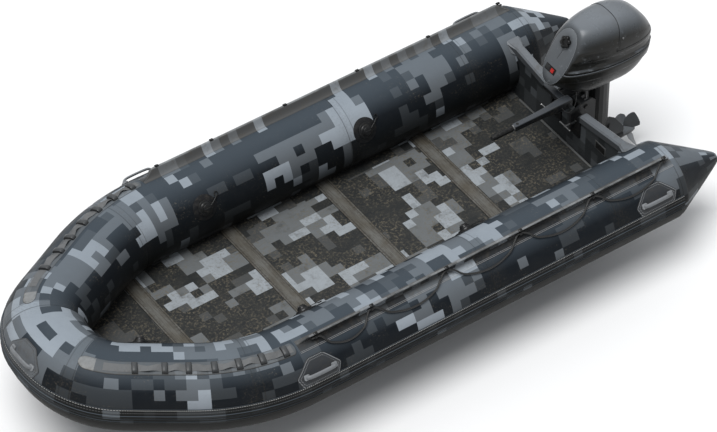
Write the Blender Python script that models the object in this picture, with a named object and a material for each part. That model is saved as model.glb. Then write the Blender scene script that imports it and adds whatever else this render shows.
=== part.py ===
"""Inflatable work boat with a hard sectional floor and a tiller-steered outboard motor.

Metres. +X runs aft, -X to the bow, -Y to port, +Z up. The origin lies on the deck's top face, on the
centre line, midway along the tubes.
"""

import math

import bmesh
import bpy
from mathutils import Matrix, Vector

# Buoyancy tubes
TUBE_RADIUS = 0.25
TUBE_OFFSET = 0.737
TUBE_BELOW_DECK = 0.059
TUBE_FABRIC = 0.0013
TUBE_SIDES = 24
CHAMBER_GAP = 0.0004
STRAIGHT_START_X = -0.847
SHOULDER_RADIUS = 1.155
SHOULDER_TURN = math.radians(30.1)
NOSE_RADIUS = 0.437
SHEER_RISE = 0.136
SHEER_RUN = 1.722
BOW_SEAM_RUN = 1.17
MID_SEAM_X = 0.43
CONE_SEAM_X = 1.82
CONE_LENGTH = 0.425
CONE_PROFILE_SHARES = ((0.0, 1.0), (0.45, 0.605), (0.86, 0.235), (0.96, 0.135))
CONE_DROP = 0.048

# Bottom skin and floor
SKIN = 0.0013
SKIN_ATTACH_ANGLE = -110.0
SKIN_CLEARANCE = 0.0012
CLEARANCE = 0.0003
FLOOR_THICKNESS = 0.0209
FLOOR_SIDE_CLEARANCE = 0.004
FLOOR_STERN_PANEL = 0.728
FLOOR_AFT_PANEL = 0.701
FLOOR_MIDDLE_PANEL = 0.691
FLOOR_FORWARD_PANEL = 0.730
FLOOR_BOW_SETBACK = 0.26
FLOOR_BOW_RUN = 0.60
FLOOR_LEAST_INSET = 0.10
FLOOR_EDGE_EASE = 0.0015
JOINER_WIDTH = 0.10
JOINER_PLATE = 0.004
JOINER_WEB = 0.006
JOINER_SLACK = 0.0003
JOINER_REBATE = 0.0015

# Transom
TRANSOM_X = 1.665
TRANSOM_THICKNESS = 0.036
TRANSOM_BOTTOM = -0.019
SEAT_HEIGHT = 0.291
SEAT_HALF_WIDTH = 0.135
SEAT_SHOULDER = 0.022
TRANSOM_END_SHARE = 0.786
TUBE_CLEARANCE = 0.0008
CAP_WIDTH = 0.060
CAP_LEG = 0.038
CAP_TOP = 0.014
CAP_CORNER = 0.010
CAP_FLARE_SHARE = 1.7
CAP_CLEARANCE = 0.0045

# Rope rails and lifelines
RAIL_FRONT_X = -0.88
RAIL_END_INSET = 0.02
RAIL_FRONT_TAPER = 0.085
RAIL_REAR_TAPER = 0.09
RAIL_BASE = 0.003
RAIL_LOW_ANGLE = 60.0
RAIL_HIGH_ANGLE = 80.0
RAIL_LIP_ANGLE = 72.0
RAIL_FOOT_ANGLE = 74.6
RAIL_HEIGHT = 0.061
RAIL_THICKNESS = 0.013
SURFACE_GAP = 0.0005
EYE_FIRST_X = -0.767
EYE_SECOND_X = -0.378
EYE_END_INSET = 0.058
EYE_COUNT = 6
EYE_LENGTH = 0.016
EYE_WALL = 0.005
EYE_SIDES = 8
EYE_OFFSET = 0.0167
EYE_RISE = 0.039
EYE_FACE_GAP = 0.0038
ROPE_DIAMETER = 0.012
ROPE_CLEARANCE = 0.0006
ROPE_SAG_ANGLE = 49.0
ROPE_LIFT = 0.0105
ROPE_TAIL = 0.030
ROPE_LEAD_SHARE = 1.1
ROPE_EASE_SHARE = 0.10
ROPE_STEP_SHARES = (0.0, 0.035, 0.095, 0.17, 0.26, 0.36, 0.48, 0.60, 0.71, 0.81, 0.89, 0.955)

# Rubbing strake along the outside of the tubes
STRAKE_HIGH_ANGLE = 16.0
STRAKE_LOW_ANGLE = -37.0
STRAKE_BASE = 0.0035
STRAKE_RIB = 0.012
STRAKE_RIB_HIGH_ANGLE = 3.5
STRAKE_RIB_LOW_ANGLE = -7.0
STRAKE_REAR_X = 1.80

# Bow strap patches
PATCH_START_RUN = 0.235
PATCH_END_RUN = 1.42
PATCH_LOW_ANGLE = 62.0
PATCH_HIGH_ANGLE = 81.0
PATCH_THICKNESS = 0.0034
PATCH_GAP = 0.0018
KEEPER_RUNS = (0.52, 0.69, 0.825, 0.965, 1.096, 1.226, 1.358)
KEEPER_LENGTH = 0.026
KEEPER_LOW_ANGLE = 65.0
KEEPER_HIGH_ANGLE = 77.5
KEEPER_HEIGHT = 0.016

# Carrying handles
HANDLE_FORWARD_X = -0.815
HANDLE_AFT_X = 1.605
HANDLE_PATCH_LENGTH = 0.295
HANDLE_PATCH_BEND_SHARES = (0.38, 0.82)
HANDLE_PATCH_SHOULDER_SHARE = 0.70
HANDLE_PATCH_TOP_SHARE = 0.52
HANDLE_PATCH_THICKNESS = 0.0031
HANDLE_PATCH_GAP = 0.0009
HANDLE_PATCH_COLUMN_SHARES = (0.217, 0.6, 1.0)
HANDLE_LOW_ANGLE = 17.5
HANDLE_HIGH_ANGLE = 51.0
HANDLE_GRIP_ANGLE = 28.0
HANDLE_GRIP_LENGTH = 0.20
HANDLE_GRIP_HEIGHT = 0.036
HANDLE_GRIP_THICKNESS = 0.014
HANDLE_GRIP_WIDTH = 0.026
HANDLE_FOOT_LENGTH = 0.034

# Inflation valves
VALVE_FORWARD_X = -0.634
VALVE_AFT_X = 0.524
VALVE_SIDE_ANGLE = 150.0
VALVE_BOW_RUN = 0.56
VALVE_BOW_ANGLE = 150.0
VALVE_FLANGE_RADIUS = 0.055
VALVE_FLANGE = 0.006
VALVE_RING_RADIUS = 0.032
VALVE_RING_HEIGHT = 0.014
VALVE_BORE_RADIUS = 0.020
VALVE_BORE_DEPTH = 0.016
VALVE_CAP_RADIUS = 0.026
VALVE_CAP_HEIGHT = 0.010
VALVE_PLUG_RADIUS = 0.0188
VALVE_PLUG_DEPTH = 0.012
VALVE_WING = 0.004
VALVE_WING_HEIGHT = 0.008
VALVE_SIDES = 12

# Motor, measured aft of the transom's inner face and up from the transom's seat
COWL_FRONT = -0.157
COWL_LENGTH = 0.71
COWL_BASE = 0.145
COWL_HEIGHT = 0.515
COWL_HALF_WIDTH = 0.18
COWL_WALL = 0.004
COWL_SQUARENESS = 2.9
COWL_SPLIT_FRONT_SHARE = 0.500
COWL_SPLIT_REAR_SHARE = 0.398
COWL_SPLIT_GAP = 0.0012
COWL_ARCH_STEPS = 7
COWL_TUB_STEPS = 5
# bottom x, bottom z, top x, top z, half width, as shares of the cowl's length, height and half width
COWL_SHARES = (
    (-0.030, 0.301, 0.243, 0.950, 0.55),
    (0.012, 0.255, 0.288, 0.985, 0.68),
    (0.130, 0.126, 0.411, 1.000, 0.85),
    (0.299, 0.012, 0.552, 1.000, 0.97),
    (0.510, 0.000, 0.700, 0.965, 1.00),
    (0.720, 0.000, 0.845, 0.880, 0.94),
    (0.885, 0.115, 0.945, 0.735, 0.76),
    (0.990, 0.300, 1.012, 0.580, 0.48),
)
PANEL_THICKNESS = 0.0025
PANEL_GAP = 0.0008
PANEL_FIRST_SECTION = 4
PANEL_LAST_SECTION = 6
PANEL_EDGE_SHARE = 0.34

LEG_CENTRE = 0.235
LEG_LENGTH = 0.15
LEG_WIDTH = 0.10
LEG_TOP = 0.175
LEG_BOTTOM = -0.285
LEG_WALL = 0.006
LEG_SIDES = 16
LEG_HOLE_CLEARANCE = 0.0006

KINGPIN_X = 0.118
KINGPIN_RADIUS = 0.014
KINGPIN_CLEARANCE = 0.0003
YOKE_UPPER = 0.098
YOKE_LOWER = -0.190
YOKE_THICKNESS = 0.022
YOKE_WIDTH = 0.060
STEERING_BAR_X = -0.085
STEERING_BAR_Z = 0.146
STEERING_BAR_SIZE = 0.028
STEERING_BAR_PORT = -0.050
STEERING_BAR_STARBOARD = 0.120
STEERING_ARM_WIDTH = 0.062
STEERING_ARM_RAISE = 0.019

BARREL_RADIUS = 0.027
BARREL_TOP = 0.096
BARREL_BOTTOM = -0.166
TILT_X = 0.062
TILT_Z = 0.052
TILT_PIN_RADIUS = 0.010
TILT_PIN_CLEARANCE = 0.0003
TILT_PIN_HEAD = 0.008
TILT_PIN_HEAD_RADIUS = 0.016
LUG_HALF_WIDTH = 0.080
LUG_RADIUS = 0.024

CLAMP_OFFSET = 0.095
CLAMP_PLATE = 0.014
CLAMP_JAW_FRONT = -0.054
CLAMP_JAW_BACK = -0.024
CLAMP_JAW_BOTTOM = -0.085
CLAMP_TOP = 0.104
# the arms' top edge clears the steering arm when the motor is both tilted and turned
CLAMP_SLOPE_SHARES = ((0.0, 0.52), (0.05, 0.56), (0.29, 0.76), (0.40, 0.84), (0.56, 0.93))
CLAMP_REAR = 0.132
CLAMP_REAR_BOTTOM = -0.20
CLAMP_CHAMFER = 0.030
CLAMP_BRIDGE_HEIGHT = 0.045
CLAMP_BRIDGE_THICKNESS = 0.016
CLAMP_BOSS_RADIUS = 0.015
SCREW_Z = -0.034
SCREW_RADIUS = 0.007
SCREW_CLEARANCE = 0.0003
SCREW_LENGTH = 0.098
SCREW_PAD_RADIUS = 0.018
SCREW_PAD = 0.007
TBAR_LENGTH = 0.105
TBAR_RADIUS = 0.005
TBAR_KNOB_RADIUS = 0.008

GEAR_TOP = -0.2853
PLATE_TOP = -0.345
PLATE_THICKNESS = 0.010
PLATE_HALF_WIDTH = 0.072
PLATE_FRONT = 0.165
PLATE_REAR = 0.412
GEAR_AXIS = -0.440
GEAR_STRUT_FRONT = 0.165
GEAR_STRUT_REAR = 0.315
GEAR_STRUT_WIDTH = 0.056
# share of the strut's size at its top, at the plate and at the pod
GEAR_STRUT_TAPER_SHARES = (1.30, 1.22, 1.05)
GEAR_POD_RADIUS = 0.045
GEAR_POD_FRONT = 0.120
GEAR_POD_REAR = 0.425
GEAR_CHAMBER_RADIUS = 0.035
GEAR_CHAMBER_FRONT = 0.203
GEAR_CHAMBER_REAR = 0.300
SKEG_BOTTOM = -0.610
SKEG_THICKNESS = 0.010
SKEG_OUTLINE_SHARES = ((0.10, 0.0), (0.95, 0.0), (0.88, 0.95), (0.62, 1.0))
SHAFT_RADIUS = 0.009
SHAFT_CLEARANCE = 0.0004
SHAFT_TOP = 0.205
PINION_RADIUS = 0.015
PINION_HEIGHT = 0.012
RING_GEAR_RADIUS = 0.030
RING_GEAR_DEPTH = 0.012
GEAR_MESH_GAP = 0.0006

PROP_RADIUS = 0.155
PROP_RAKE_SHARE = 0.30
PROP_HUB_FRONT = 0.4262
PROP_HUB_LENGTH = 0.095
PROP_HUB_RADIUS = 0.036
PROP_HUB_REAR_SHARE = 0.72
PROP_BLADES = 3
PROP_FIRST_BLADE = math.radians(66.0)
PROP_PITCH = math.radians(32.0)
PROP_BLADE_THICKNESS = 0.005
# distance from the axis and chord, as shares of the propeller's radius
PROP_BLADE_SHARES = ((0.16, 0.42), (0.45, 0.66), (0.75, 0.66), (0.93, 0.44), (1.0, 0.14))

POWERHEAD_FRONT = 0.035
POWERHEAD_REAR = 0.355
POWERHEAD_HALF_WIDTH = 0.092
POWERHEAD_TOP = 0.500
POWERHEAD_BEVEL = 0.022
FLYWHEEL_RADIUS = 0.095
FLYWHEEL_HEIGHT = 0.040

KNOB_SHARE = 0.765
KNOB_RADIUS = 0.034
KNOB_DEPTH = 0.020
KNOB_LOBES = 6
KNOB_LOBE_DEPTH = 0.006
KNOB_STEM_RADIUS = 0.010
KNOB_STEM = 0.010
KNOB_STEM_CLEARANCE = 0.0006
BUTTON_SHARE = 0.235
BUTTON_Y = -0.004
BUTTON_SIZE = 0.024
BUTTON_PROUD = 0.008
BUTTON_GAP = 0.0005

TILLER_Y = -0.081
TILLER_PIVOT_X = -0.085
TILLER_PIVOT_Z = 0.150
TILLER_END_X = -0.475
TILLER_WIDTH = 0.052
TILLER_ROOT_HEIGHT = 0.054
TILLER_TIP_HEIGHT = 0.040
TILLER_ROOT_REAR = 0.038
TILLER_BEVEL = 0.006
GRIP_RADIUS = 0.019
GRIP_LENGTH = 0.160
GRIP_RIBS = 4
GRIP_RIB_HEIGHT = 0.0015
GRIP_GAP = 0.0004

CABLE_DIAMETER = 0.005
CABLE_GAP = 0.0004
# lanyard route as x, y, z from the foot of the cowl's front face, chosen by hand
CABLE_ROUTE = (
    (0.1631, -0.0952, -0.0892),
    (0.1583, -0.1014, -0.0983),
    (0.1500, -0.1120, -0.1180),
    (0.1350, -0.1240, -0.1460),
    (0.1120, -0.1320, -0.1720),
    (0.0850, -0.1340, -0.1860),
    (0.0620, -0.1300, -0.1800),
    (0.0490, -0.1220, -0.1620),
    (0.0445, -0.1150, -0.1505),
    (0.0445, -0.1077, -0.1500),
)
CABLE_POINTS = 24

SIDES = {"port": -1, "starboard": 1}
RIGHT = math.pi / 2


def clear_scene():
    for old in list(bpy.data.objects):
        bpy.data.objects.remove(old, do_unlink=True)


def finish(name, colour, roughness, metallic=0.0):
    made = bpy.data.materials.new(name)
    made.use_nodes = True
    shader = made.node_tree.nodes["Principled BSDF"]
    shader.inputs["Base Color"].default_value = (*colour, 1.0)
    shader.inputs["Roughness"].default_value = roughness
    shader.inputs["Metallic"].default_value = metallic
    made.diffuse_color = (*colour, 1.0)
    return made


def to_object(name, bm, material, pivot=None):
    """An object from a mesh in world coordinates, with its origin at the pivot."""
    bmesh.ops.remove_doubles(bm, verts=bm.verts, dist=1e-6 * TUBE_RADIUS)
    bmesh.ops.recalc_face_normals(bm, faces=bm.faces)
    mesh = bpy.data.meshes.new(name)
    bm.to_mesh(mesh)
    bm.free()
    mesh.materials.append(material)
    mesh.shade_smooth()
    mesh.set_sharp_from_angle(angle=math.radians(35))
    obj = bpy.data.objects.new(name, mesh)
    bpy.context.scene.collection.objects.link(obj)
    if pivot is not None:
        mesh.transform(Matrix.Translation(-Vector(pivot)))
        obj.location = pivot
    return obj


def helper(name, bm):
    """A shape that only cuts or joins another, so it is not one of the pieces."""
    obj = to_object(name, bm, MATERIALS["helper"])
    obj.hide_render = True
    obj.display_type = "WIRE"
    return obj


def combine(obj, other, operation):
    modifier = obj.modifiers.new(other.name, "BOOLEAN")
    modifier.operation = operation
    modifier.object = other
    modifier.solver = "EXACT"
    return obj


def loft(bm, rings, wrap=False):
    """Skins a row of equal rings with triangles on one fixed diagonal; caps both ends unless it wraps."""
    rows = [[bm.verts.new(point) for point in ring] for ring in rings]
    count = len(rows[0])
    pairs = list(zip(rows, rows[1:]))
    if wrap:
        pairs.append((rows[-1], rows[0]))
    for low, high in pairs:
        for i in range(count):
            j = (i + 1) % count
            bm.faces.new((low[i], low[j], high[j]))
            bm.faces.new((low[i], high[j], high[i]))
    if not wrap:
        bm.faces.new(rows[0])
        bm.faces.new(rows[-1])
    return bm


def lofted(rings, wrap=False):
    return loft(bmesh.new(), rings, wrap)


def circle(centre, axis, radius, sides, start=0.0):
    """Points on a circle about an axis."""
    axis = Vector(axis).normalized()
    first = axis.cross(Vector((0, 0, 1)))
    if first.length < 0.5:
        first = Vector((1, 0, 0))
    first.normalize()
    second = axis.cross(first)
    steps = (start + 2 * math.pi * i / sides for i in range(sides))
    return [Vector(centre) + radius * (first * math.cos(a) + second * math.sin(a)) for a in steps]


def turned(origin, axis, profile, sides):
    """A turned solid: profile is (distance along the axis, radius) from one end to the other."""
    axis = Vector(axis).normalized()
    return lofted([circle(Vector(origin) + axis * along, axis, radius, sides) for along, radius in profile])


def box(low, high):
    corners = [
        [Vector((x, y, z)) for x, y in ((low[0], low[1]), (high[0], low[1]), (high[0], high[1]), (low[0], high[1]))]
        for z in (low[2], high[2])
    ]
    return lofted(corners)


def prism(outline, low, high, along):
    """Extrudes an outline: of (x, z) along Y, of (y, z) along X, or of (x, y) along Z."""
    place = {
        "Y": lambda a, b, c: Vector((a, c, b)),
        "X": lambda a, b, c: Vector((c, a, b)),
        "Z": lambda a, b, c: Vector((a, b, c)),
    }[along]
    return lofted([[place(a, b, c) for a, b in outline] for c in (low, high)])


def add(bm, other):
    """Adds the triangles of one mesh to another."""
    mesh = bpy.data.meshes.new("joined")
    other.to_mesh(mesh)
    other.free()
    bm.from_mesh(mesh)
    bpy.data.meshes.remove(mesh)
    return bm


# Hull centre line and surface. A run is a distance along the centre line from the bow, minus to port.

TUBE_HEIGHT = TUBE_RADIUS - TUBE_BELOW_DECK
TRANSOM_END_HEIGHT = TUBE_HEIGHT + TUBE_RADIUS * TRANSOM_END_SHARE
RAIL_REAR_X = CONE_SEAM_X - RAIL_END_INSET
EYE_LAST_X = RAIL_REAR_X - EYE_END_INSET
EYE_PITCH = (EYE_LAST_X - EYE_SECOND_X) / (EYE_COUNT - 2)
EYE_CENTRE_RISE = EYE_RISE - EYE_FACE_GAP
EYE_LIP_SHARE = (EYE_CENTRE_RISE - RAIL_BASE) / (RAIL_HEIGHT - RAIL_BASE)
EYE_LIP_ANGLE = RAIL_FOOT_ANGLE + (RAIL_LIP_ANGLE - RAIL_FOOT_ANGLE) * EYE_LIP_SHARE
EYE_ANGLE = EYE_LIP_ANGLE - math.degrees(EYE_OFFSET / (TUBE_RADIUS + EYE_CENTRE_RISE))
LINK = (
    TUBE_OFFSET - SHOULDER_RADIUS * (1 - math.cos(SHOULDER_TURN)) - NOSE_RADIUS * math.cos(SHOULDER_TURN)
) / math.sin(SHOULDER_TURN)
NOSE_RUN = NOSE_RADIUS * (RIGHT - SHOULDER_TURN)
LINK_RUN = NOSE_RUN + LINK
STRAIGHT_RUN = LINK_RUN + SHOULDER_RADIUS * SHOULDER_TURN


def run_at(x):
    return STRAIGHT_RUN + x - STRAIGHT_START_X


def centre_line(run):
    """The centre line's point and the level direction that points outboard there."""
    side = -1 if run < 0 else 1
    back = STRAIGHT_RUN - abs(run)
    turn = 0.0
    x = STRAIGHT_START_X
    y = TUBE_OFFSET
    if back <= 0:
        x -= back
    else:
        turn = min(back / SHOULDER_RADIUS, SHOULDER_TURN)
        x -= SHOULDER_RADIUS * math.sin(turn)
        y -= SHOULDER_RADIUS * (1 - math.cos(turn))
        link = min(max(back - SHOULDER_RADIUS * SHOULDER_TURN, 0.0), LINK)
        x -= link * math.cos(turn)
        y -= link * math.sin(turn)
        nose = back - SHOULDER_RADIUS * SHOULDER_TURN - link
        if nose > 0:
            turn = SHOULDER_TURN + nose / NOSE_RADIUS
            x -= NOSE_RADIUS * (math.sin(turn) - math.sin(SHOULDER_TURN))
            y -= NOSE_RADIUS * (math.cos(SHOULDER_TURN) - math.cos(turn))
    lift = max((SHEER_RUN - abs(run)) / SHEER_RUN, 0.0)
    point = Vector((x, side * y, TUBE_HEIGHT + SHEER_RISE * lift * lift))
    return point, Vector((-math.sin(turn), side * math.cos(turn), 0.0))


def split(start, end, parts):
    return [start + (end - start) * i / parts for i in range(1, parts + 1)]


SHEER_START_RUN = max(SHEER_RUN, STRAIGHT_RUN)
HALF_STATIONS = (
    split(0.0, NOSE_RUN, 4)
    + split(NOSE_RUN, LINK_RUN, 1)
    + split(LINK_RUN, BOW_SEAM_RUN, 2)
    + split(BOW_SEAM_RUN, STRAIGHT_RUN, 2)
    + [SHEER_START_RUN, run_at(MID_SEAM_X), run_at(CONE_SEAM_X)]
)
STATIONS = [-run for run in reversed(HALF_STATIONS)] + [0.0] + HALF_STATIONS
FACET = 360.0 / TUBE_SIDES


def facet_radius(angle):
    """The tube's radius at an angle in degrees, on the flat between two of its lengthwise edges."""
    beside = math.radians((angle + FACET / 2) % FACET - FACET / 2)
    return TUBE_RADIUS * math.cos(math.radians(FACET / 2)) / math.cos(beside)


def at_station(run, angle, height):
    centre, outboard = centre_line(run)
    reach = facet_radius(angle) + height
    turn = math.radians(angle)
    return centre + reach * (outboard * math.cos(turn) + Vector((0, 0, math.sin(turn))))


def on_hull(run, angle, height=0.0):
    """The point over the tube's facets at a run, at an angle up from outboard, and at a height."""
    after = next((i for i, station in enumerate(STATIONS) if station >= run), len(STATIONS) - 1)
    high = max(after, 1)
    low = high - 1
    share = (run - STATIONS[low]) / (STATIONS[high] - STATIONS[low])
    return at_station(STATIONS[low], angle, height).lerp(at_station(STATIONS[high], angle, height), share)


def runs_between(start, end):
    low, high = sorted((start, end))
    between = [run for run in STATIONS if low + SURFACE_GAP < run < high - SURFACE_GAP]
    return [start] + (between if start < end else between[::-1]) + [end]


def angles_between(start, end):
    """Both angles, with each of the tube's lengthwise edges between them."""
    first = math.ceil(start / FACET - 0.5 + 1e-6)
    last = math.floor(end / FACET - 0.5 - 1e-6)
    return [start] + [FACET * (i + 0.5) for i in range(first, last + 1)] + [end]


def hull_strip(start, end, profile):
    """A strip that follows the tube. profile(run) gives its closed outline as (angle, height)."""
    rings = [[on_hull(run, *point) for point in profile(run)] for run in runs_between(start, end)]
    return lofted(rings)


def tube_ring(run, height=0.0):
    return [on_hull(run, FACET * (i + 0.5), height) for i in range(TUBE_SIDES)]


def sleeve(start, end, wall_at_start):
    """A fabric tube between two runs, open at its end, and closed by a bulkhead at its start if asked."""
    runs = runs_between(start, end)
    outer = [tube_ring(run) for run in runs]
    inner = [tube_ring(run, -TUBE_FABRIC) for run in runs]
    if not wall_at_start:
        return lofted(outer + inner[::-1], wrap=True)
    toward = math.copysign(TUBE_FABRIC, end - start)
    inner[0] = tube_ring(start + toward, -TUBE_FABRIC)
    return lofted(outer + inner[::-1])


def inner_waterline(height, clearance=FLOOR_SIDE_CLEARANCE):
    """How far inboard of the centre line a flat piece at this height has to stay, for each run."""

    def inset(run):
        centre, _ = centre_line(run)
        below = centre.z - height
        reach = math.sqrt(max(TUBE_RADIUS**2 - below**2, 0.0))
        least = max(reach, FLOOR_LEAST_INSET)
        bow = max(1 - abs(run) / FLOOR_BOW_RUN, 0.0)
        return least + clearance + (FLOOR_BOW_SETBACK - FLOOR_LEAST_INSET) * bow * bow

    return inset


def edge_point(run, inset):
    centre, outboard = centre_line(run)
    return centre - outboard * inset(run)


def run_where_x(x, inset):
    """The run on the starboard side where the inset line crosses a station x."""
    low, high = 0.0, run_at(CONE_SEAM_X)
    for _ in range(40):
        middle = (low + high) / 2
        if edge_point(middle, inset).x < x:
            low = middle
        else:
            high = middle
    return high


def floor_outline(front_x, rear_x, height):
    """A floor piece between two stations, bounded by the tubes at its top face."""
    inset = inner_waterline(height)
    rear = run_where_x(rear_x, inset)
    front = 0.0 if front_x is None else run_where_x(front_x, inset)
    runs = [run for run in HALF_STATIONS if front + SURFACE_GAP < run < rear - SURFACE_GAP]
    runs = [front] + runs + [rear]
    starboard = [edge_point(run, inset) for run in runs]
    half = [(p.x, p.y) for p in starboard]
    if front_x is None:
        half[0] = (half[0][0], 0.0)
        return [(x, -y) for x, y in half[:0:-1]] + half
    return [(x, -y) for x, y in half[::-1]] + half


def make_tubes():
    gap = CHAMBER_GAP / 2
    mid = run_at(MID_SEAM_X)
    rear = run_at(CONE_SEAM_X)
    fabric = MATERIALS["tube_fabric"]
    to_object("tube_bow", sleeve(gap - BOW_SEAM_RUN, BOW_SEAM_RUN - gap, False), fabric)
    for name, side in SIDES.items():
        forward = sleeve(side * (BOW_SEAM_RUN + gap), side * (mid - gap), True)
        aft = sleeve(side * (mid + gap), side * (rear - gap), True)
        to_object(f"tube_{name}_forward", forward, fabric)
        to_object(f"tube_{name}_aft", aft, fabric)
        to_object(f"cone_{name}", cone(side), fabric)


def cone(side):
    """The tapered tail of a tube, open towards the tube."""
    front = CONE_SEAM_X + CHAMBER_GAP / 2

    def ring(share, radius_share, thickness):
        middle = Vector((front + CONE_LENGTH * share, side * TUBE_OFFSET, TUBE_HEIGHT - CONE_DROP * share))
        radius = TUBE_RADIUS * radius_share - thickness
        steps = (math.radians(FACET * (i + 0.5)) for i in range(TUBE_SIDES))
        return [middle + radius * Vector((0, side * math.cos(a), math.sin(a))) for a in steps]

    outer = [ring(share, radius, 0.0) for share, radius in CONE_PROFILE_SHARES]
    inner = [ring(share, radius, TUBE_FABRIC) for share, radius in CONE_PROFILE_SHARES]
    outer.append(ring(1.0, CONE_PROFILE_SHARES[-1][1] / 3, 0.0))
    return lofted(outer[::-1] + inner)


def make_bottom_skin():
    """The fabric under the floor, glued to the tubes' undersides and rising with them at the bow."""
    inset = inner_waterline(0.0, 0.0)
    low = -FLOOR_THICKNESS - CLEARANCE - SKIN
    rows = []
    rear = run_where_x(TRANSOM_X + TRANSOM_THICKNESS, inset)
    for run in [0.0] + [r for r in HALF_STATIONS if r < rear - SURFACE_GAP] + [rear]:
        line = []
        for side in (-1, 1):
            attach = on_hull(side * run, SKIN_ATTACH_ANGLE, SKIN_CLEARANCE + SKIN)
            edge = edge_point(side * run, inset)
            edge.z = low
            line.append((attach, edge))
        rows.append((line[0][0], line[0][1], line[1][1], line[1][0]))
    bm = bmesh.new()
    tops = []
    bottoms = []
    for i, row in enumerate(rows):
        kept = row if i else (row[0], row[1])
        bottoms.append([bm.verts.new(point) for point in kept])
        tops.append([bm.verts.new(point + Vector((0, 0, SKIN))) for point in kept])
    for grid in (bottoms, tops):
        nose = grid[0]
        grid[0] = [nose[0], nose[1], nose[1], nose[0]]
        for near, far in zip(grid, grid[1:]):
            for a, b in ((0, 1), (1, 2), (2, 3)):
                for face in ((near[a], near[b], far[b]), (near[a], far[b], far[a])):
                    if len(set(face)) == 3:
                        bm.faces.new(face)
    for i in range(len(rows) - 1):
        for a in (0, 3):
            face = (bottoms[i][a], bottoms[i + 1][a], tops[i + 1][a], tops[i][a])
            bm.faces.new(face)
    for a, b in ((0, 1), (1, 2), (2, 3)):
        bm.faces.new((bottoms[-1][a], bottoms[-1][b], tops[-1][b], tops[-1][a]))
    to_object("bottom_skin", bm, MATERIALS["bottom_fabric"])


def floor_joints():
    """Stations of the four joiners, counted from the transom forward."""
    x = TRANSOM_X
    for length in (FLOOR_STERN_PANEL, FLOOR_AFT_PANEL, FLOOR_MIDDLE_PANEL, FLOOR_FORWARD_PANEL):
        x -= length
        yield x


def make_floor():
    joints = list(floor_joints())
    low = -FLOOR_THICKNESS
    half = JOINER_WEB / 2 + JOINER_SLACK
    rears = [TRANSOM_X - CLEARANCE] + [x - half for x in joints]
    fronts = [x + half for x in joints] + [None]
    names = ("stern", "aft", "middle", "forward", "bow")
    for name, front, rear in zip(names, fronts, rears):
        panel = prism(floor_outline(front, rear, 0.0), low, 0.0, "Z")
        panel = to_object(f"floor_panel_{name}", panel, MATERIALS["floor"])
        if front is not None and front > STRAIGHT_START_X:
            ease_edges(panel, front, rear)
        for x in joints:
            if abs(x - rear) < JOINER_WIDTH or (front is not None and abs(x - front) < JOINER_WIDTH):
                rebate(panel, x)
    plate = CLEARANCE - JOINER_REBATE
    for name, x in zip(names, joints):
        outline = floor_outline(x - JOINER_WIDTH / 2, x + JOINER_WIDTH / 2, plate + JOINER_PLATE)
        reach = min(abs(y) for _, y in outline)
        section = (
            (x - JOINER_WIDTH / 2, plate),
            (x - JOINER_WEB / 2, plate),
            (x - JOINER_WEB / 2, low),
            (x + JOINER_WEB / 2, low),
            (x + JOINER_WEB / 2, plate),
            (x + JOINER_WIDTH / 2, plate),
            (x + JOINER_WIDTH / 2, plate + JOINER_PLATE),
            (x - JOINER_WIDTH / 2, plate + JOINER_PLATE),
        )
        to_object(f"floor_joiner_{name}", prism(section, -reach, reach, "Y"), MATERIALS["joiner"])


def rebate(panel, x):
    """Sinks the panel's end a little, so that the joiner's flange lies in it."""
    reach = JOINER_WIDTH / 2 + CLEARANCE
    slot = box((x - reach, -TUBE_OFFSET, -JOINER_REBATE), (x + reach, TUBE_OFFSET, JOINER_PLATE))
    combine(panel, helper("joiner_rebate", slot), "DIFFERENCE")


def ease_edges(panel, front, rear):
    """Planes the panel's long edges down where they tuck under the tubes."""
    flat = TUBE_OFFSET - TUBE_RADIUS - FLOOR_SIDE_CLEARANCE
    slope = FLOOR_EDGE_EASE / (TUBE_RADIUS - FLOOR_LEAST_INSET)
    for name, side in SIDES.items():
        outline = (
            (side * (flat - FLOOR_SIDE_CLEARANCE), slope * FLOOR_SIDE_CLEARANCE),
            (side * TUBE_OFFSET, -slope * (TUBE_OFFSET - flat)),
            (side * TUBE_OFFSET, JOINER_PLATE),
            (side * (flat - FLOOR_SIDE_CLEARANCE), JOINER_PLATE),
        )
        wedge = prism(outline, front - JOINER_WIDTH, rear + JOINER_WIDTH, "X")
        combine(panel, helper(f"eased_edge_{name}", wedge), "DIFFERENCE")


def beside_tube(height, clearance):
    """How far out from the centre line a piece between the tubes may reach at this height."""
    level = height - TUBE_HEIGHT
    turns = [math.radians(FACET * (i + 0.5) - 90) for i in range(TUBE_SIDES // 2)]
    corners = [((TUBE_RADIUS + clearance) * math.cos(t), (TUBE_RADIUS + clearance) * math.sin(t)) for t in turns]
    for (near, low), (far, high) in zip(corners, corners[1:]):
        if low <= level <= high:
            return TUBE_OFFSET - near - (far - near) * (level - low) / (high - low)
    return TUBE_OFFSET


def board_top(y):
    """The transom board's upper edge: a level seat for the motor, then a slope up to each tube."""
    y = abs(y)
    start = SEAT_HEIGHT + SEAT_SHOULDER
    if y <= SEAT_HALF_WIDTH:
        return SEAT_HEIGHT
    end = beside_tube(TRANSOM_END_HEIGHT, TUBE_CLEARANCE)
    return start + (TRANSOM_END_HEIGHT - start) * (y - SEAT_HALF_WIDTH) / (end - SEAT_HALF_WIDTH)


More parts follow.
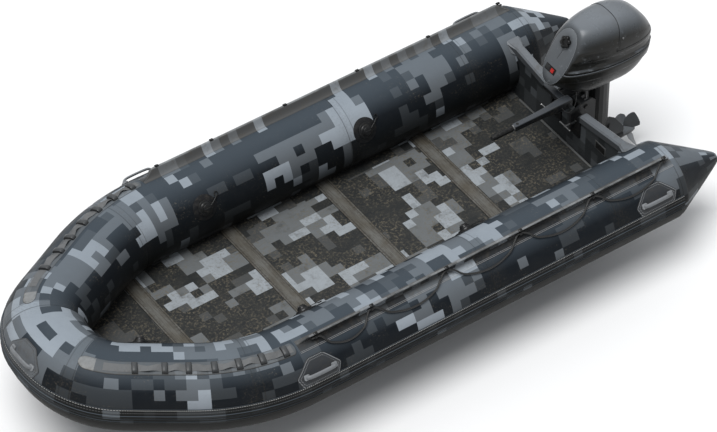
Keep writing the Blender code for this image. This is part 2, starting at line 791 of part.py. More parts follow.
def make_transom():
    levels = [TUBE_HEIGHT + TUBE_RADIUS * math.sin(math.radians(FACET * (i + 0.5))) for i in range(-TUBE_SIDES, 6)]
    between = sorted({z for z in levels if TRANSOM_BOTTOM + SURFACE_GAP < z < TRANSOM_END_HEIGHT - SURFACE_GAP})
    heights = [TRANSOM_BOTTOM] + between + [TRANSOM_END_HEIGHT]
    side = [(beside_tube(z, TUBE_CLEARANCE), z) for z in heights]
    side += [(SEAT_HALF_WIDTH, SEAT_HEIGHT + SEAT_SHOULDER), (SEAT_HALF_WIDTH, SEAT_HEIGHT)]
    outline = side + [(-y, z) for y, z in side[::-1]]
    board = prism(outline, TRANSOM_X, TRANSOM_X + TRANSOM_THICKNESS, "X")
    to_object("transom_board", board, MATERIALS["transom"])
    for name, sign in SIDES.items():
        to_object(f"transom_cap_{name}", transom_cap(sign), MATERIALS["cap"])


def transom_cap(sign):
    """A moulded channel over the sloping edge of the board, flared where it meets the tube."""
    middle = TRANSOM_X + TRANSOM_THICKNESS / 2
    wide = CAP_WIDTH / 2
    slot = TRANSOM_THICKNESS / 2 + CLEARANCE

    def section(y, flare, follow_tube):
        outer = wide * flare
        points = (
            (-outer, -CAP_LEG),
            (-outer, CAP_TOP - CAP_CORNER),
            (CAP_CORNER - outer, CAP_TOP),
            (outer - CAP_CORNER, CAP_TOP),
            (outer, CAP_TOP - CAP_CORNER),
            (outer, -CAP_LEG),
            (slot, -CAP_LEG),
            (slot, CLEARANCE),
            (-slot, CLEARANCE),
            (-slot, -CAP_LEG),
        )
        ring = []
        for across, up in points:
            z = board_top(y) + up
            out = beside_tube(z, CAP_CLEARANCE) if follow_tube else y
            ring.append(Vector((middle + across, sign * out, z)))
        return ring

    first = SEAT_HALF_WIDTH + CLEARANCE
    end = beside_tube(TRANSOM_END_HEIGHT, TUBE_CLEARANCE)
    flare_start = end - (CAP_FLARE_SHARE - 1) * CAP_WIDTH * 1.5
    return lofted(
        [section(first, 1.0, False), section(flare_start, 1.0, False), section(end, CAP_FLARE_SHARE, True)]
    )


def eye_stations():
    return [EYE_FIRST_X] + [EYE_SECOND_X + EYE_PITCH * i for i in range(EYE_COUNT - 1)]


def rail_profile(rise):
    """The rope rail's section: a strip glued to the tube with an upright lip, as (angle, height)."""

    def wide(height):
        return math.degrees(RAIL_THICKNESS / 2 / (TUBE_RADIUS + height))

    lip = RAIL_BASE + (RAIL_HEIGHT - RAIL_BASE) * rise
    foot = RAIL_BASE + RAIL_THICKNESS * 0.3 * rise
    shoulder = lip - RAIL_THICKNESS * 0.3 * rise
    under = [(angle, SURFACE_GAP) for angle in angles_between(RAIL_LOW_ANGLE, RAIL_HIGH_ANGLE)]
    lean = RAIL_FOOT_ANGLE + (RAIL_LIP_ANGLE - RAIL_FOOT_ANGLE) * rise
    return under + [
        (RAIL_HIGH_ANGLE, RAIL_BASE),
        (RAIL_FOOT_ANGLE + wide(foot), foot),
        (lean + wide(shoulder), shoulder),
        (lean, lip),
        (lean - wide(shoulder), shoulder),
        (RAIL_FOOT_ANGLE - wide(foot), foot),
        (RAIL_LOW_ANGLE, RAIL_BASE),
    ]


def make_rails():
    tapered = {
        RAIL_FRONT_X: 0.02,
        STRAIGHT_START_X: 0.6,
        RAIL_FRONT_X + RAIL_FRONT_TAPER: 1.0,
        RAIL_REAR_X - RAIL_REAR_TAPER: 1.0,
        RAIL_REAR_X: 0.02,
    }
    for name, side in SIDES.items():
        rings = []
        for x, rise in tapered.items():
            profile = rail_profile(rise)
            rings.append([on_hull(side * run_at(x), *point) for point in profile])
        rail = to_object(f"rope_rail_{name}", lofted(rings), MATERIALS["trim_rubber"])
        eyes = bmesh.new()
        for x in eye_stations():
            add(eyes, rope_eye(side, x))
        combine(rail, helper(f"rope_eyes_{name}", eyes), "UNION")


def eye_centre(side, x):
    return on_hull(side * run_at(x), EYE_ANGLE, EYE_CENTRE_RISE)


def rope_eye(side, x):
    """A short moulded loop on the lip's outboard face, which the lifeline passes through."""
    centre = eye_centre(side, x)
    inner = ROPE_DIAMETER / 2 + ROPE_CLEARANCE
    start = centre - Vector((EYE_LENGTH / 2, 0, 0))
    end = centre + Vector((EYE_LENGTH / 2, 0, 0))
    along = (1, 0, 0)
    outer = inner + EYE_WALL
    rings = [circle(p, along, r, EYE_SIDES) for p, r in ((start, outer), (end, outer), (end, inner), (start, inner))]
    return lofted(rings, wrap=True)


def lifeline_route(side):
    """Rope points: through each eye, and a hanging bight against the tube between each pair."""
    stations = eye_stations()
    points = []
    for start, end in zip(stations, stations[1:]):
        for share in ROPE_STEP_SHARES:
            sag = 4 * share * (1 - share)
            past_eye = max(min(share, 1 - share) * (end - start) - EYE_LENGTH * ROPE_LEAD_SHARE, 0.0)
            ease = past_eye / (end - start) / ROPE_EASE_SHARE
            drop = sag * min(1.0, ease * ease / 2 + ease / 2)
            angle = EYE_ANGLE + (ROPE_SAG_ANGLE - EYE_ANGLE) * drop
            height = EYE_CENTRE_RISE * (1 - drop) ** 1.6 + ROPE_LIFT * (1 - (1 - drop) ** 1.6)
            points.append(on_hull(side * run_at(start + (end - start) * share), angle, height))
    points.append(eye_centre(side, stations[-1]))
    tail = Vector((ROPE_TAIL, 0, 0))
    return [points[0] - tail] + points + [points[-1] + tail]


def tube_along(name, points, diameter, material, resolution=2):
    curve = bpy.data.curves.new(name, "CURVE")
    curve.dimensions = "3D"
    curve.bevel_depth = diameter / 2
    curve.bevel_resolution = resolution
    curve.use_fill_caps = True
    spline = curve.splines.new("POLY")
    spline.points.add(len(points) - 1)
    for slot, point in zip(spline.points, points):
        slot.co = (*point, 1.0)
    curve.materials.append(material)
    obj = bpy.data.objects.new(name, curve)
    bpy.context.scene.collection.objects.link(obj)
    return obj


def make_lifelines():
    for name, side in SIDES.items():
        tube_along(f"lifeline_{name}", lifeline_route(side), ROPE_DIAMETER, MATERIALS["rope"])


def make_strake():
    """One rubber strake round the outside of both tubes, with a raised rib along its middle."""
    under = [(angle, SURFACE_GAP) for angle in angles_between(STRAKE_LOW_ANGLE, STRAKE_HIGH_ANGLE)]
    profile = under + [
        (STRAKE_HIGH_ANGLE, STRAKE_BASE),
        (STRAKE_RIB_HIGH_ANGLE + 1.5, STRAKE_BASE + SURFACE_GAP),
        (STRAKE_RIB_HIGH_ANGLE, STRAKE_RIB),
        (STRAKE_RIB_LOW_ANGLE, STRAKE_RIB),
        (STRAKE_RIB_LOW_ANGLE - 1.5, STRAKE_BASE + SURFACE_GAP),
        (-FACET, STRAKE_BASE),
        (-2 * FACET, STRAKE_BASE),
        (STRAKE_LOW_ANGLE, STRAKE_BASE),
    ]
    reach = run_at(STRAKE_REAR_X)
    to_object("rubbing_strake", hull_strip(-reach, reach, lambda run: profile), MATERIALS["trim_rubber"])


def make_strap_patches():
    """A patch along each side of the bow, with the keeper loops that hold a strap."""
    for name, side in SIDES.items():
        under = [(angle, PATCH_GAP) for angle in angles_between(PATCH_LOW_ANGLE, PATCH_HIGH_ANGLE)]
        over = [(angle, PATCH_THICKNESS) for angle, _ in under[::-1]]
        bm = bmesh.new()
        rings = []
        for run in runs_between(PATCH_START_RUN, PATCH_END_RUN):
            rings.append([on_hull(side * run, *point) for point in under + over])
        loft(bm, rings)
        patch = to_object(f"bow_strap_patch_{name}", bm, MATERIALS["patch"])
        keepers = bmesh.new()
        for run in KEEPER_RUNS:
            ends = (run - KEEPER_LENGTH / 2, run + KEEPER_LENGTH / 2)
            low = (PATCH_GAP + PATCH_THICKNESS) / 2
            outline = (
                (KEEPER_LOW_ANGLE, low),
                (KEEPER_HIGH_ANGLE, low),
                (KEEPER_HIGH_ANGLE, KEEPER_HEIGHT * 0.6),
                (KEEPER_HIGH_ANGLE - 1.5, KEEPER_HEIGHT),
                (KEEPER_LOW_ANGLE + 1.5, KEEPER_HEIGHT),
                (KEEPER_LOW_ANGLE, KEEPER_HEIGHT * 0.6),
            )
            add(keepers, lofted([[on_hull(side * end, *point) for point in outline] for end in ends]))
        combine(patch, helper(f"strap_keepers_{name}", keepers), "UNION")


def run_across(middle_run, angle, distance):
    """The run that lies a distance along the tube's surface from another, at this angle."""
    probe = HANDLE_PATCH_LENGTH / 2
    length = (on_hull(middle_run + probe, angle) - on_hull(middle_run, angle)).length
    return middle_run + distance * probe / length


def handle_patch(middle_run, side):
    """The glued base of a handle: a strip with straight feet that narrows to a rounded top."""
    half = HANDLE_PATCH_LENGTH / 2
    span = HANDLE_HIGH_ANGLE - HANDLE_LOW_ANGLE
    bends = [HANDLE_LOW_ANGLE + span * share for share in HANDLE_PATCH_BEND_SHARES]
    widths = (1.0, 1.0, HANDLE_PATCH_SHOULDER_SHARE, HANDLE_PATCH_TOP_SHARE)
    corners = list(zip([HANDLE_LOW_ANGLE, *bends, HANDLE_HIGH_ANGLE], widths))

    def width_share(angle):
        for (low, wide), (high, narrow) in zip(corners, corners[1:]):
            if angle <= high:
                return wide + (narrow - wide) * (angle - low) / (high - low)
        return HANDLE_PATCH_TOP_SHARE

    angles = sorted({*angles_between(HANDLE_LOW_ANGLE, HANDLE_HIGH_ANGLE), *bends})
    shape = [(angle, width_share(angle)) for angle in angles]
    bm = bmesh.new()
    shares = HANDLE_PATCH_COLUMN_SHARES
    runs = [share * half for share in (*(-share for share in shares[::-1]), 0.0, *shares)]
    rings = []
    for height in (HANDLE_PATCH_GAP, HANDLE_PATCH_THICKNESS):
        for angle, share in shape if height == HANDLE_PATCH_GAP else shape[::-1]:
            places = (side * run_across(middle_run, angle, run * share) for run in runs)
            rings.append([on_hull(place, angle, height) for place in places])
    rows = [[bm.verts.new(point) for point in ring] for ring in rings]
    last = len(runs) - 1
    for low, high in zip(rows, rows[1:] + rows[:1]):
        for i in range(last):
            bm.faces.new((low[i], low[i + 1], high[i + 1], high[i]))
    half_rows = len(shape)
    for end in (0, last):
        for i in range(half_rows - 1):
            a, b = rows[i][end], rows[i + 1][end]
            c, d = rows[-2 - i][end], rows[-1 - i][end]
            bm.faces.new((a, b, c, d))
    return bm


def handle_grip(middle_run, side):
    """The moulded bow of a handle, standing on two feet."""
    half = HANDLE_GRIP_LENGTH / 2
    width = math.degrees(HANDLE_GRIP_WIDTH / 2 / TUBE_RADIUS)
    low = (HANDLE_PATCH_GAP + HANDLE_PATCH_THICKNESS) / 2
    inner = HANDLE_GRIP_HEIGHT - HANDLE_GRIP_THICKNESS
    foot = HANDLE_FOOT_LENGTH
    outline = (
        (-half, low),
        (-half, HANDLE_GRIP_THICKNESS),
        (foot - half, HANDLE_GRIP_HEIGHT),
        (half - foot, HANDLE_GRIP_HEIGHT),
        (half, HANDLE_GRIP_THICKNESS),
        (half, low),
        (half - foot * 0.8, low),
        (half - foot * 1.25, inner),
        (foot * 1.25 - half, inner),
        (foot * 0.8 - half, low),
    )
    rings = []
    for angle in (HANDLE_GRIP_ANGLE - width, HANDLE_GRIP_ANGLE + width):
        places = [(side * run_across(middle_run, HANDLE_GRIP_ANGLE, along), height) for along, height in outline]
        rings.append([on_hull(place, angle, height) for place, height in places])
    return lofted(rings)


def make_handles():
    places = {"bow": (0.0, 1)}
    for name, side in SIDES.items():
        places[f"{name}_forward"] = (run_at(HANDLE_FORWARD_X), side)
        places[f"{name}_aft"] = (run_at(HANDLE_AFT_X), side)
    for name, (run, side) in places.items():
        handle = to_object(f"carry_handle_{name}", handle_patch(run, side), MATERIALS["handle"])
        combine(handle, helper(f"handle_grip_{name}", handle_grip(run, side)), "UNION")


def valve_places():
    places = {"bow": (-VALVE_BOW_RUN, VALVE_BOW_ANGLE)}
    for name, side in SIDES.items():
        places[f"{name}_forward"] = (side * run_at(VALVE_FORWARD_X), VALVE_SIDE_ANGLE)
        places[f"{name}_aft"] = (side * run_at(VALVE_AFT_X), VALVE_SIDE_ANGLE)
    return places


def valve_axis(run, angle):
    """The middle and outward direction of a valve that stands on the tube's skin."""
    _, outboard = centre_line(run)
    turn = math.radians(angle)
    radial = outboard * math.cos(turn) + Vector((0, 0, math.sin(turn)))
    along = on_hull(run + VALVE_FLANGE_RADIUS, angle) - on_hull(run - VALVE_FLANGE_RADIUS, angle)
    out = along.cross(on_hull(run, angle + 1) - on_hull(run, angle - 1)).normalized()
    return on_hull(run, angle), out if out.dot(radial) > 0 else -out


def make_valves():
    """Each valve has a flanged body on the tube's inner side, and a screw cap in it."""
    for name, (run, angle) in valve_places().items():
        foot, out = valve_axis(run, angle)
        lift = VALVE_FLANGE_RADIUS**2 / (2 * TUBE_RADIUS)
        base = foot + out * SURFACE_GAP
        flange_top = lift + VALVE_FLANGE
        ring_top = flange_top + VALVE_RING_HEIGHT
        body = turned(
            base,
            out,
            (
                (0.0, VALVE_FLANGE_RADIUS),
                (VALVE_FLANGE * 0.6, VALVE_FLANGE_RADIUS),
                (flange_top, VALVE_RING_RADIUS),
                (ring_top, VALVE_RING_RADIUS),
                (ring_top, VALVE_BORE_RADIUS),
                (ring_top - VALVE_BORE_DEPTH, VALVE_BORE_RADIUS),
            ),
            VALVE_SIDES,
        )
        to_object(f"valve_body_{name}", body, MATERIALS["valve"])
        seat = base + out * (ring_top + CLEARANCE)
        cap = turned(
            seat,
            out,
            (
                (-VALVE_PLUG_DEPTH, VALVE_PLUG_RADIUS),
                (0.0, VALVE_PLUG_RADIUS),
                (0.0, VALVE_CAP_RADIUS),
                (VALVE_CAP_HEIGHT, VALVE_CAP_RADIUS * 0.94),
            ),
            VALVE_SIDES,
        )
        made = to_object(f"valve_cap_{name}", cap, MATERIALS["valve_cap"], seat)
        wing = helper(f"valve_wing_{name}", valve_wing(seat, out))
        combine(made, wing, "UNION")


def valve_wing(seat, out):
    """The finger bar across a cap."""
    along = out.cross(Vector((0, 0, 1))).normalized()
    across = out.cross(along)
    low = seat + out * (VALVE_CAP_HEIGHT / 2)
    reach = VALVE_CAP_RADIUS * 0.82
    rings = []
    for height in (0.0, VALVE_CAP_HEIGHT / 2 + VALVE_WING_HEIGHT):
        level = low + out * height
        signs = ((-1, -1), (1, -1), (1, 1), (-1, 1))
        rings.append([level + along * reach * a + across * VALVE_WING * b for a, b in signs])
    return lofted(rings)


# Motor. Its places are given aft of the transom's inner face and up from the seat.


def motor(x, y, z):
    return Vector((TRANSOM_X + x, y, SEAT_HEIGHT + z))


def cowl_section(index, grow=0.0):
    """A cowl section's foot and crown in the middle plane, and its half width."""
    foot_x, foot_z, crown_x, crown_z, wide = COWL_SHARES[index]
    foot = motor(COWL_FRONT + COWL_LENGTH * foot_x, 0, COWL_BASE + COWL_HEIGHT * foot_z - grow)
    crown = motor(COWL_FRONT + COWL_LENGTH * crown_x, 0, COWL_BASE + COWL_HEIGHT * crown_z + grow)
    return foot, crown, COWL_HALF_WIDTH * wide + grow


def cowl_point(index, turn, grow=0.0):
    """A point round a section: turn is 0 at its foot and pi at its crown, and minus to port."""
    foot, crown, wide = cowl_section(index, grow)
    power = 2 / COWL_SQUARENESS
    rise = 0.5 - 0.5 * math.copysign(abs(math.cos(turn)) ** power, math.cos(turn))
    across = math.copysign(abs(math.sin(turn)) ** power, math.sin(turn))
    point = foot.lerp(crown, rise)
    point.y = wide * across
    return point


def split_turn(index, offset=0.0):
    """The turn at which a section meets the joint between the lower and the upper cowl."""
    foot, crown, _ = cowl_section(index)
    share = index / (len(COWL_SHARES) - 1)
    level = COWL_SPLIT_FRONT_SHARE + (COWL_SPLIT_REAR_SHARE - COWL_SPLIT_FRONT_SHARE) * share
    height = SEAT_HEIGHT + COWL_BASE + COWL_HEIGHT * level + offset
    rise = (height - foot.z) / (crown.z - foot.z)
    cosine = 1 - 2 * rise
    return math.acos(math.copysign(abs(cosine) ** (COWL_SQUARENESS / 2), cosine))


def cowl_sheet(rows):
    """A sheet over the sections, with flat faces at its front and rear."""
    bm = bmesh.new()
    grid = [[bm.verts.new(point) for point in row] for row in rows]
    for near, far in zip(grid, grid[1:]):
        for i in range(len(near) - 1):
            bm.faces.new((near[i], near[i + 1], far[i + 1], far[i]))
    bm.faces.new(grid[0])
    bm.faces.new(grid[-1])
    return bm


def thicken(obj, wall, outward=False):
    modifier = obj.modifiers.new("wall", "SOLIDIFY")
    modifier.thickness = wall
    modifier.offset = 1.0 if outward else -1.0
    modifier.use_even_offset = True
    modifier.use_quality_normals = True
    return obj


def arch(start, end, steps):
    """Turns from one side over a section's crown, or under its foot, to the other side."""
    half = [start + (end - start) * i / steps for i in range(steps)]
    middle = [end]
    return half + middle + [-turn if end == 0 else 2 * math.pi - turn for turn in half[::-1]]


def make_cowls():
    sections = range(len(COWL_SHARES))
    upper_rows = []
    lower_rows = []
    for index in sections:
        upper = arch(split_turn(index, COWL_SPLIT_GAP / 2), math.pi, COWL_ARCH_STEPS)
        lower = arch(split_turn(index, -COWL_SPLIT_GAP / 2), 0.0, COWL_TUB_STEPS)
        upper_rows.append([cowl_point(index, turn) for turn in upper])
        lower_rows.append([cowl_point(index, turn) for turn in lower])
    cover = thicken(to_object("cowl_upper", cowl_sheet(upper_rows), MATERIALS["cowl"]), COWL_WALL)
    knob, normal = front_face_point(KNOB_SHARE, 0.0)
    hole = turned(
        knob - normal * KNOB_STEM,
        normal,
        ((-KNOB_STEM, KNOB_STEM_RADIUS + KNOB_STEM_CLEARANCE), (2 * KNOB_STEM, KNOB_STEM_RADIUS + KNOB_STEM_CLEARANCE)),
        12,
    )
    combine(cover, helper("knob_hole", hole), "DIFFERENCE")
    tub = thicken(to_object("cowl_lower", cowl_sheet(lower_rows), MATERIALS["cowl"]), COWL_WALL)
    grow = LEG_HOLE_CLEARANCE
    rings = [leg_ring(z, grow) for z in (COWL_BASE - COWL_WALL * 4, COWL_BASE + COWL_WALL * 8)]
    combine(tub, helper("leg_hole", lofted(rings)), "DIFFERENCE")
    combine(tub, helper("button_hole", button_block(BUTTON_GAP, COWL_WALL * 4)), "DIFFERENCE")
    to_object_panel()


def to_object_panel():
    """The screwed cover over the rear of the upper cowl."""
    bm = bmesh.new()
    rows = []
    for index in range(PANEL_FIRST_SECTION, PANEL_LAST_SECTION + 1):
        start = split_turn(index, COWL_SPLIT_GAP / 2)
        turns = arch(start + (math.pi - start) * PANEL_EDGE_SHARE, math.pi, COWL_ARCH_STEPS)
        rows.append([bm.verts.new(cowl_point(index, turn, PANEL_GAP * 1.2)) for turn in turns])
    for near, far in zip(rows, rows[1:]):
        for i in range(len(near) - 1):
            bm.faces.new((near[i], near[i + 1], far[i + 1], far[i]))
    panel = to_object("cowl_rear_panel", bm, MATERIALS["cowl"])
    thicken(panel, PANEL_THICKNESS, outward=True)


def leg_ring(z, grow=0.0, share=1.0):
    steps = (2 * math.pi * i / LEG_SIDES for i in range(LEG_SIDES))
    long = LEG_LENGTH / 2 * share + grow
    wide = LEG_WIDTH / 2 * share + grow
    return [motor(LEG_CENTRE + long * math.cos(a), wide * math.sin(a), z) for a in steps]


def make_leg():
    """The drive-shaft housing, with the kingpin, its two yokes and the bar that carries the tiller."""
    outer = [leg_ring(z) for z in (LEG_BOTTOM, LEG_TOP)]
    inner = [leg_ring(z, -LEG_WALL) for z in (LEG_BOTTOM, LEG_TOP)]
    leg = to_object("leg_housing", lofted(outer + inner[::-1], wrap=True), MATERIALS["motor_black"])
    half = YOKE_WIDTH / 2
    reach = LEG_CENTRE - LEG_LENGTH / 2 + LEG_WALL / 2
    arms = bmesh.new()
    for z in (YOKE_LOWER, YOKE_UPPER):
        add(arms, box(motor(KINGPIN_X - half / 2, -half, z), motor(reach + LEG_WALL, half, z + YOKE_THICKNESS)))
    yokes = helper("yokes", arms)
    pin = turned(
        motor(KINGPIN_X, 0, YOKE_LOWER + YOKE_THICKNESS / 2),
        (0, 0, 1),
        ((0.0, KINGPIN_RADIUS), (YOKE_UPPER - YOKE_LOWER, KINGPIN_RADIUS)),
        16,
    )
    side = STEERING_BAR_SIZE / 2
    bar_low = motor(STEERING_BAR_X - side, STEERING_BAR_PORT, STEERING_BAR_Z - side)
    bar_high = motor(STEERING_BAR_X + side, STEERING_BAR_STARBOARD, STEERING_BAR_Z + side)
    arm_low = YOKE_UPPER + STEERING_ARM_RAISE
    arm = box(
        motor(STEERING_BAR_X, -STEERING_ARM_WIDTH / 2, arm_low),
        motor(KINGPIN_X + half / 3, STEERING_ARM_WIDTH / 2, arm_low + YOKE_THICKNESS),
    )
    combine(leg, yokes, "UNION")
    combine(leg, helper("kingpin", pin), "UNION")
    combine(leg, helper("steering_bar", box(bar_low, bar_high)), "UNION")
    combine(leg, helper("steering_arm", arm), "UNION")
    combine(leg, helper("tiller_stub", tiller_stub(0.0)), "UNION")


def tiller_stub(grow):
    """The round boss at the bar's port end, which the tiller folds on."""
    length = STEERING_BAR_PORT - TILLER_Y + TILLER_WIDTH * 0.2
    start = motor(TILLER_PIVOT_X, STEERING_BAR_PORT + STEERING_BAR_SIZE / 4, TILLER_PIVOT_Z)
    radius = STEERING_BAR_SIZE * 0.38 + grow
    return turned(start, (0, -1, 0), ((0.0, radius), (length + STEERING_BAR_SIZE / 4 + grow, radius)), 14)


def make_swivel():
    """The bracket that tilts on the tilt pin and carries the kingpin in its barrel."""
    barrel = turned(
        motor(KINGPIN_X, 0, BARREL_BOTTOM), (0, 0, 1), ((0.0, BARREL_RADIUS), (BARREL_TOP - BARREL_BOTTOM, BARREL_RADIUS)), 16
    )
    pivot = motor(TILT_X, 0, TILT_Z)
    swivel = to_object("swivel_bracket", barrel, MATERIALS["bracket"], pivot)
    lug = turned(
        pivot - Vector((0, LUG_HALF_WIDTH, 0)), (0, 1, 0), ((0.0, LUG_RADIUS), (2 * LUG_HALF_WIDTH, LUG_RADIUS)), 16
    )
    web = box(
        motor(TILT_X, -BARREL_RADIUS * 0.9, TILT_Z - LUG_RADIUS),
        motor(KINGPIN_X, BARREL_RADIUS * 0.9, TILT_Z + LUG_RADIUS * 0.8),
    )
    combine(swivel, helper("tilt_lug", lug), "UNION")
    combine(swivel, helper("swivel_web", web), "UNION")
    bore = turned(
        motor(KINGPIN_X, 0, BARREL_BOTTOM - BARREL_RADIUS),
        (0, 0, 1),
        ((0.0, KINGPIN_RADIUS + KINGPIN_CLEARANCE),
         (BARREL_TOP - BARREL_BOTTOM + 2 * BARREL_RADIUS, KINGPIN_RADIUS + KINGPIN_CLEARANCE)),
        16,
    )
    combine(swivel, helper("kingpin_bore", bore), "DIFFERENCE")
    combine(swivel, helper("tilt_bore_swivel", tilt_bore()), "DIFFERENCE")


def tilt_bore():
    reach = CLAMP_OFFSET + CLAMP_PLATE
    radius = TILT_PIN_RADIUS + TILT_PIN_CLEARANCE
    start = motor(TILT_X, -reach, TILT_Z)
    return turned(start, (0, 1, 0), ((0.0, radius), (2 * reach, radius)), 16)


def make_tilt_pin():
    reach = CLAMP_OFFSET + CLAMP_PLATE / 2 + CLEARANCE
    start = motor(TILT_X, -reach, TILT_Z)
    profile = (
        (-TILT_PIN_HEAD, TILT_PIN_HEAD_RADIUS),
        (0.0, TILT_PIN_HEAD_RADIUS),
        (0.0, TILT_PIN_RADIUS),
        (2 * reach, TILT_PIN_RADIUS),
        (2 * reach, TILT_PIN_HEAD_RADIUS),
        (2 * reach + TILT_PIN_HEAD, TILT_PIN_HEAD_RADIUS),
    )
    to_object("tilt_pin", turned(start, (0, 1, 0), profile, 16), MATERIALS["steel"])


def make_clamp():
    """Two hooked plates that hang over the transom, joined by a bridge behind it."""
    back = TRANSOM_THICKNESS + CLEARANCE
    outline = (
        (CLAMP_JAW_FRONT, CLAMP_JAW_BOTTOM),
        (CLAMP_JAW_BACK, CLAMP_JAW_BOTTOM),
        (CLAMP_JAW_BACK, CLEARANCE),
        (back, CLEARANCE),
        (back, CLAMP_REAR_BOTTOM),
        (CLAMP_REAR - CLAMP_CHAMFER, CLAMP_REAR_BOTTOM),
        (CLAMP_REAR, CLAMP_REAR_BOTTOM + CLAMP_CHAMFER),
        (CLAMP_REAR, CLAMP_TOP - CLAMP_CHAMFER),
        (CLAMP_REAR - CLAMP_CHAMFER, CLAMP_TOP),
    )
    slope = [(CLAMP_JAW_FRONT + (CLAMP_REAR - CLAMP_JAW_FRONT) * a, CLAMP_TOP * b) for a, b in CLAMP_SLOPE_SHARES]
    outline += tuple(slope[::-1])
    world = [(TRANSOM_X + x, SEAT_HEIGHT + z) for x, z in outline]
    plates = []
    for side in (-1, 1):
        middle = side * CLAMP_OFFSET
        plates.append(prism(world, middle - CLAMP_PLATE / 2, middle + CLAMP_PLATE / 2, "Y"))
    clamp = to_object("clamp_bracket", plates[0], MATERIALS["bracket"])
    bridge = box(
        motor(back + CLAMP_PLATE / 4, -CLAMP_OFFSET, CLAMP_REAR_BOTTOM + CLAMP_PLATE / 4),
        motor(back + CLAMP_BRIDGE_THICKNESS, CLAMP_OFFSET, CLAMP_REAR_BOTTOM + CLAMP_BRIDGE_HEIGHT),
    )
    combine(clamp, helper("clamp_bridge", bridge), "UNION")
    combine(clamp, helper("clamp_plate", plates[1]), "UNION")
    combine(clamp, helper("tilt_bore_clamp", tilt_bore()), "DIFFERENCE")
    bores = bmesh.new()
    length = CLAMP_JAW_BACK - CLAMP_JAW_FRONT + SURFACE_GAP
    for name, side in SIDES.items():
        start = motor(CLAMP_JAW_FRONT - SURFACE_GAP, side * CLAMP_OFFSET, SCREW_Z)
        boss = turned(start, (1, 0, 0), ((0.0, CLAMP_BOSS_RADIUS), (length, CLAMP_BOSS_RADIUS)), 12)
        combine(clamp, helper(f"clamp_boss_{name}", boss), "UNION")
    for side in (-1, 1):
        start = motor(CLAMP_JAW_FRONT - CLAMP_PLATE, side * CLAMP_OFFSET, SCREW_Z)
        length = CLAMP_JAW_BACK - CLAMP_JAW_FRONT + 2 * CLAMP_PLATE
        radius = SCREW_RADIUS + SCREW_CLEARANCE
        add(bores, turned(start, (1, 0, 0), ((0.0, radius), (length, radius)), 12))
    combine(clamp, helper("screw_bores", bores), "DIFFERENCE")


def make_clamp_screws():
    """Each clamp screw has a pad against the transom and a bar handle at its inboard end."""
    for name, side in SIDES.items():
        y = side * CLAMP_OFFSET
        start = motor(-CLEARANCE, y, SCREW_Z)
        profile = (
            (0.0, SCREW_PAD_RADIUS),
            (SCREW_PAD, SCREW_PAD_RADIUS),
            (SCREW_PAD, SCREW_RADIUS),
            (SCREW_LENGTH, SCREW_RADIUS),
        )
        screw = to_object(f"clamp_screw_{name}", turned(start, (-1, 0, 0), profile, 12), MATERIALS["steel"], start)
        middle = start - Vector((SCREW_LENGTH - SCREW_RADIUS, 0, 0))
        half = TBAR_LENGTH / 2
        bar = turned(
            middle - Vector((0, half, 0)),
            (0, 1, 0),
            (
                (0.0, TBAR_KNOB_RADIUS * 0.6),
                (TBAR_KNOB_RADIUS * 0.6, TBAR_KNOB_RADIUS),
                (TBAR_KNOB_RADIUS * 1.6, TBAR_RADIUS),
                (TBAR_LENGTH - TBAR_KNOB_RADIUS * 1.6, TBAR_RADIUS),
                (TBAR_LENGTH - TBAR_KNOB_RADIUS * 0.6, TBAR_KNOB_RADIUS),
                (TBAR_LENGTH, TBAR_KNOB_RADIUS * 0.6),
            ),
            10,
        )
        combine(screw, helper(f"screw_handle_{name}", bar), "UNION")


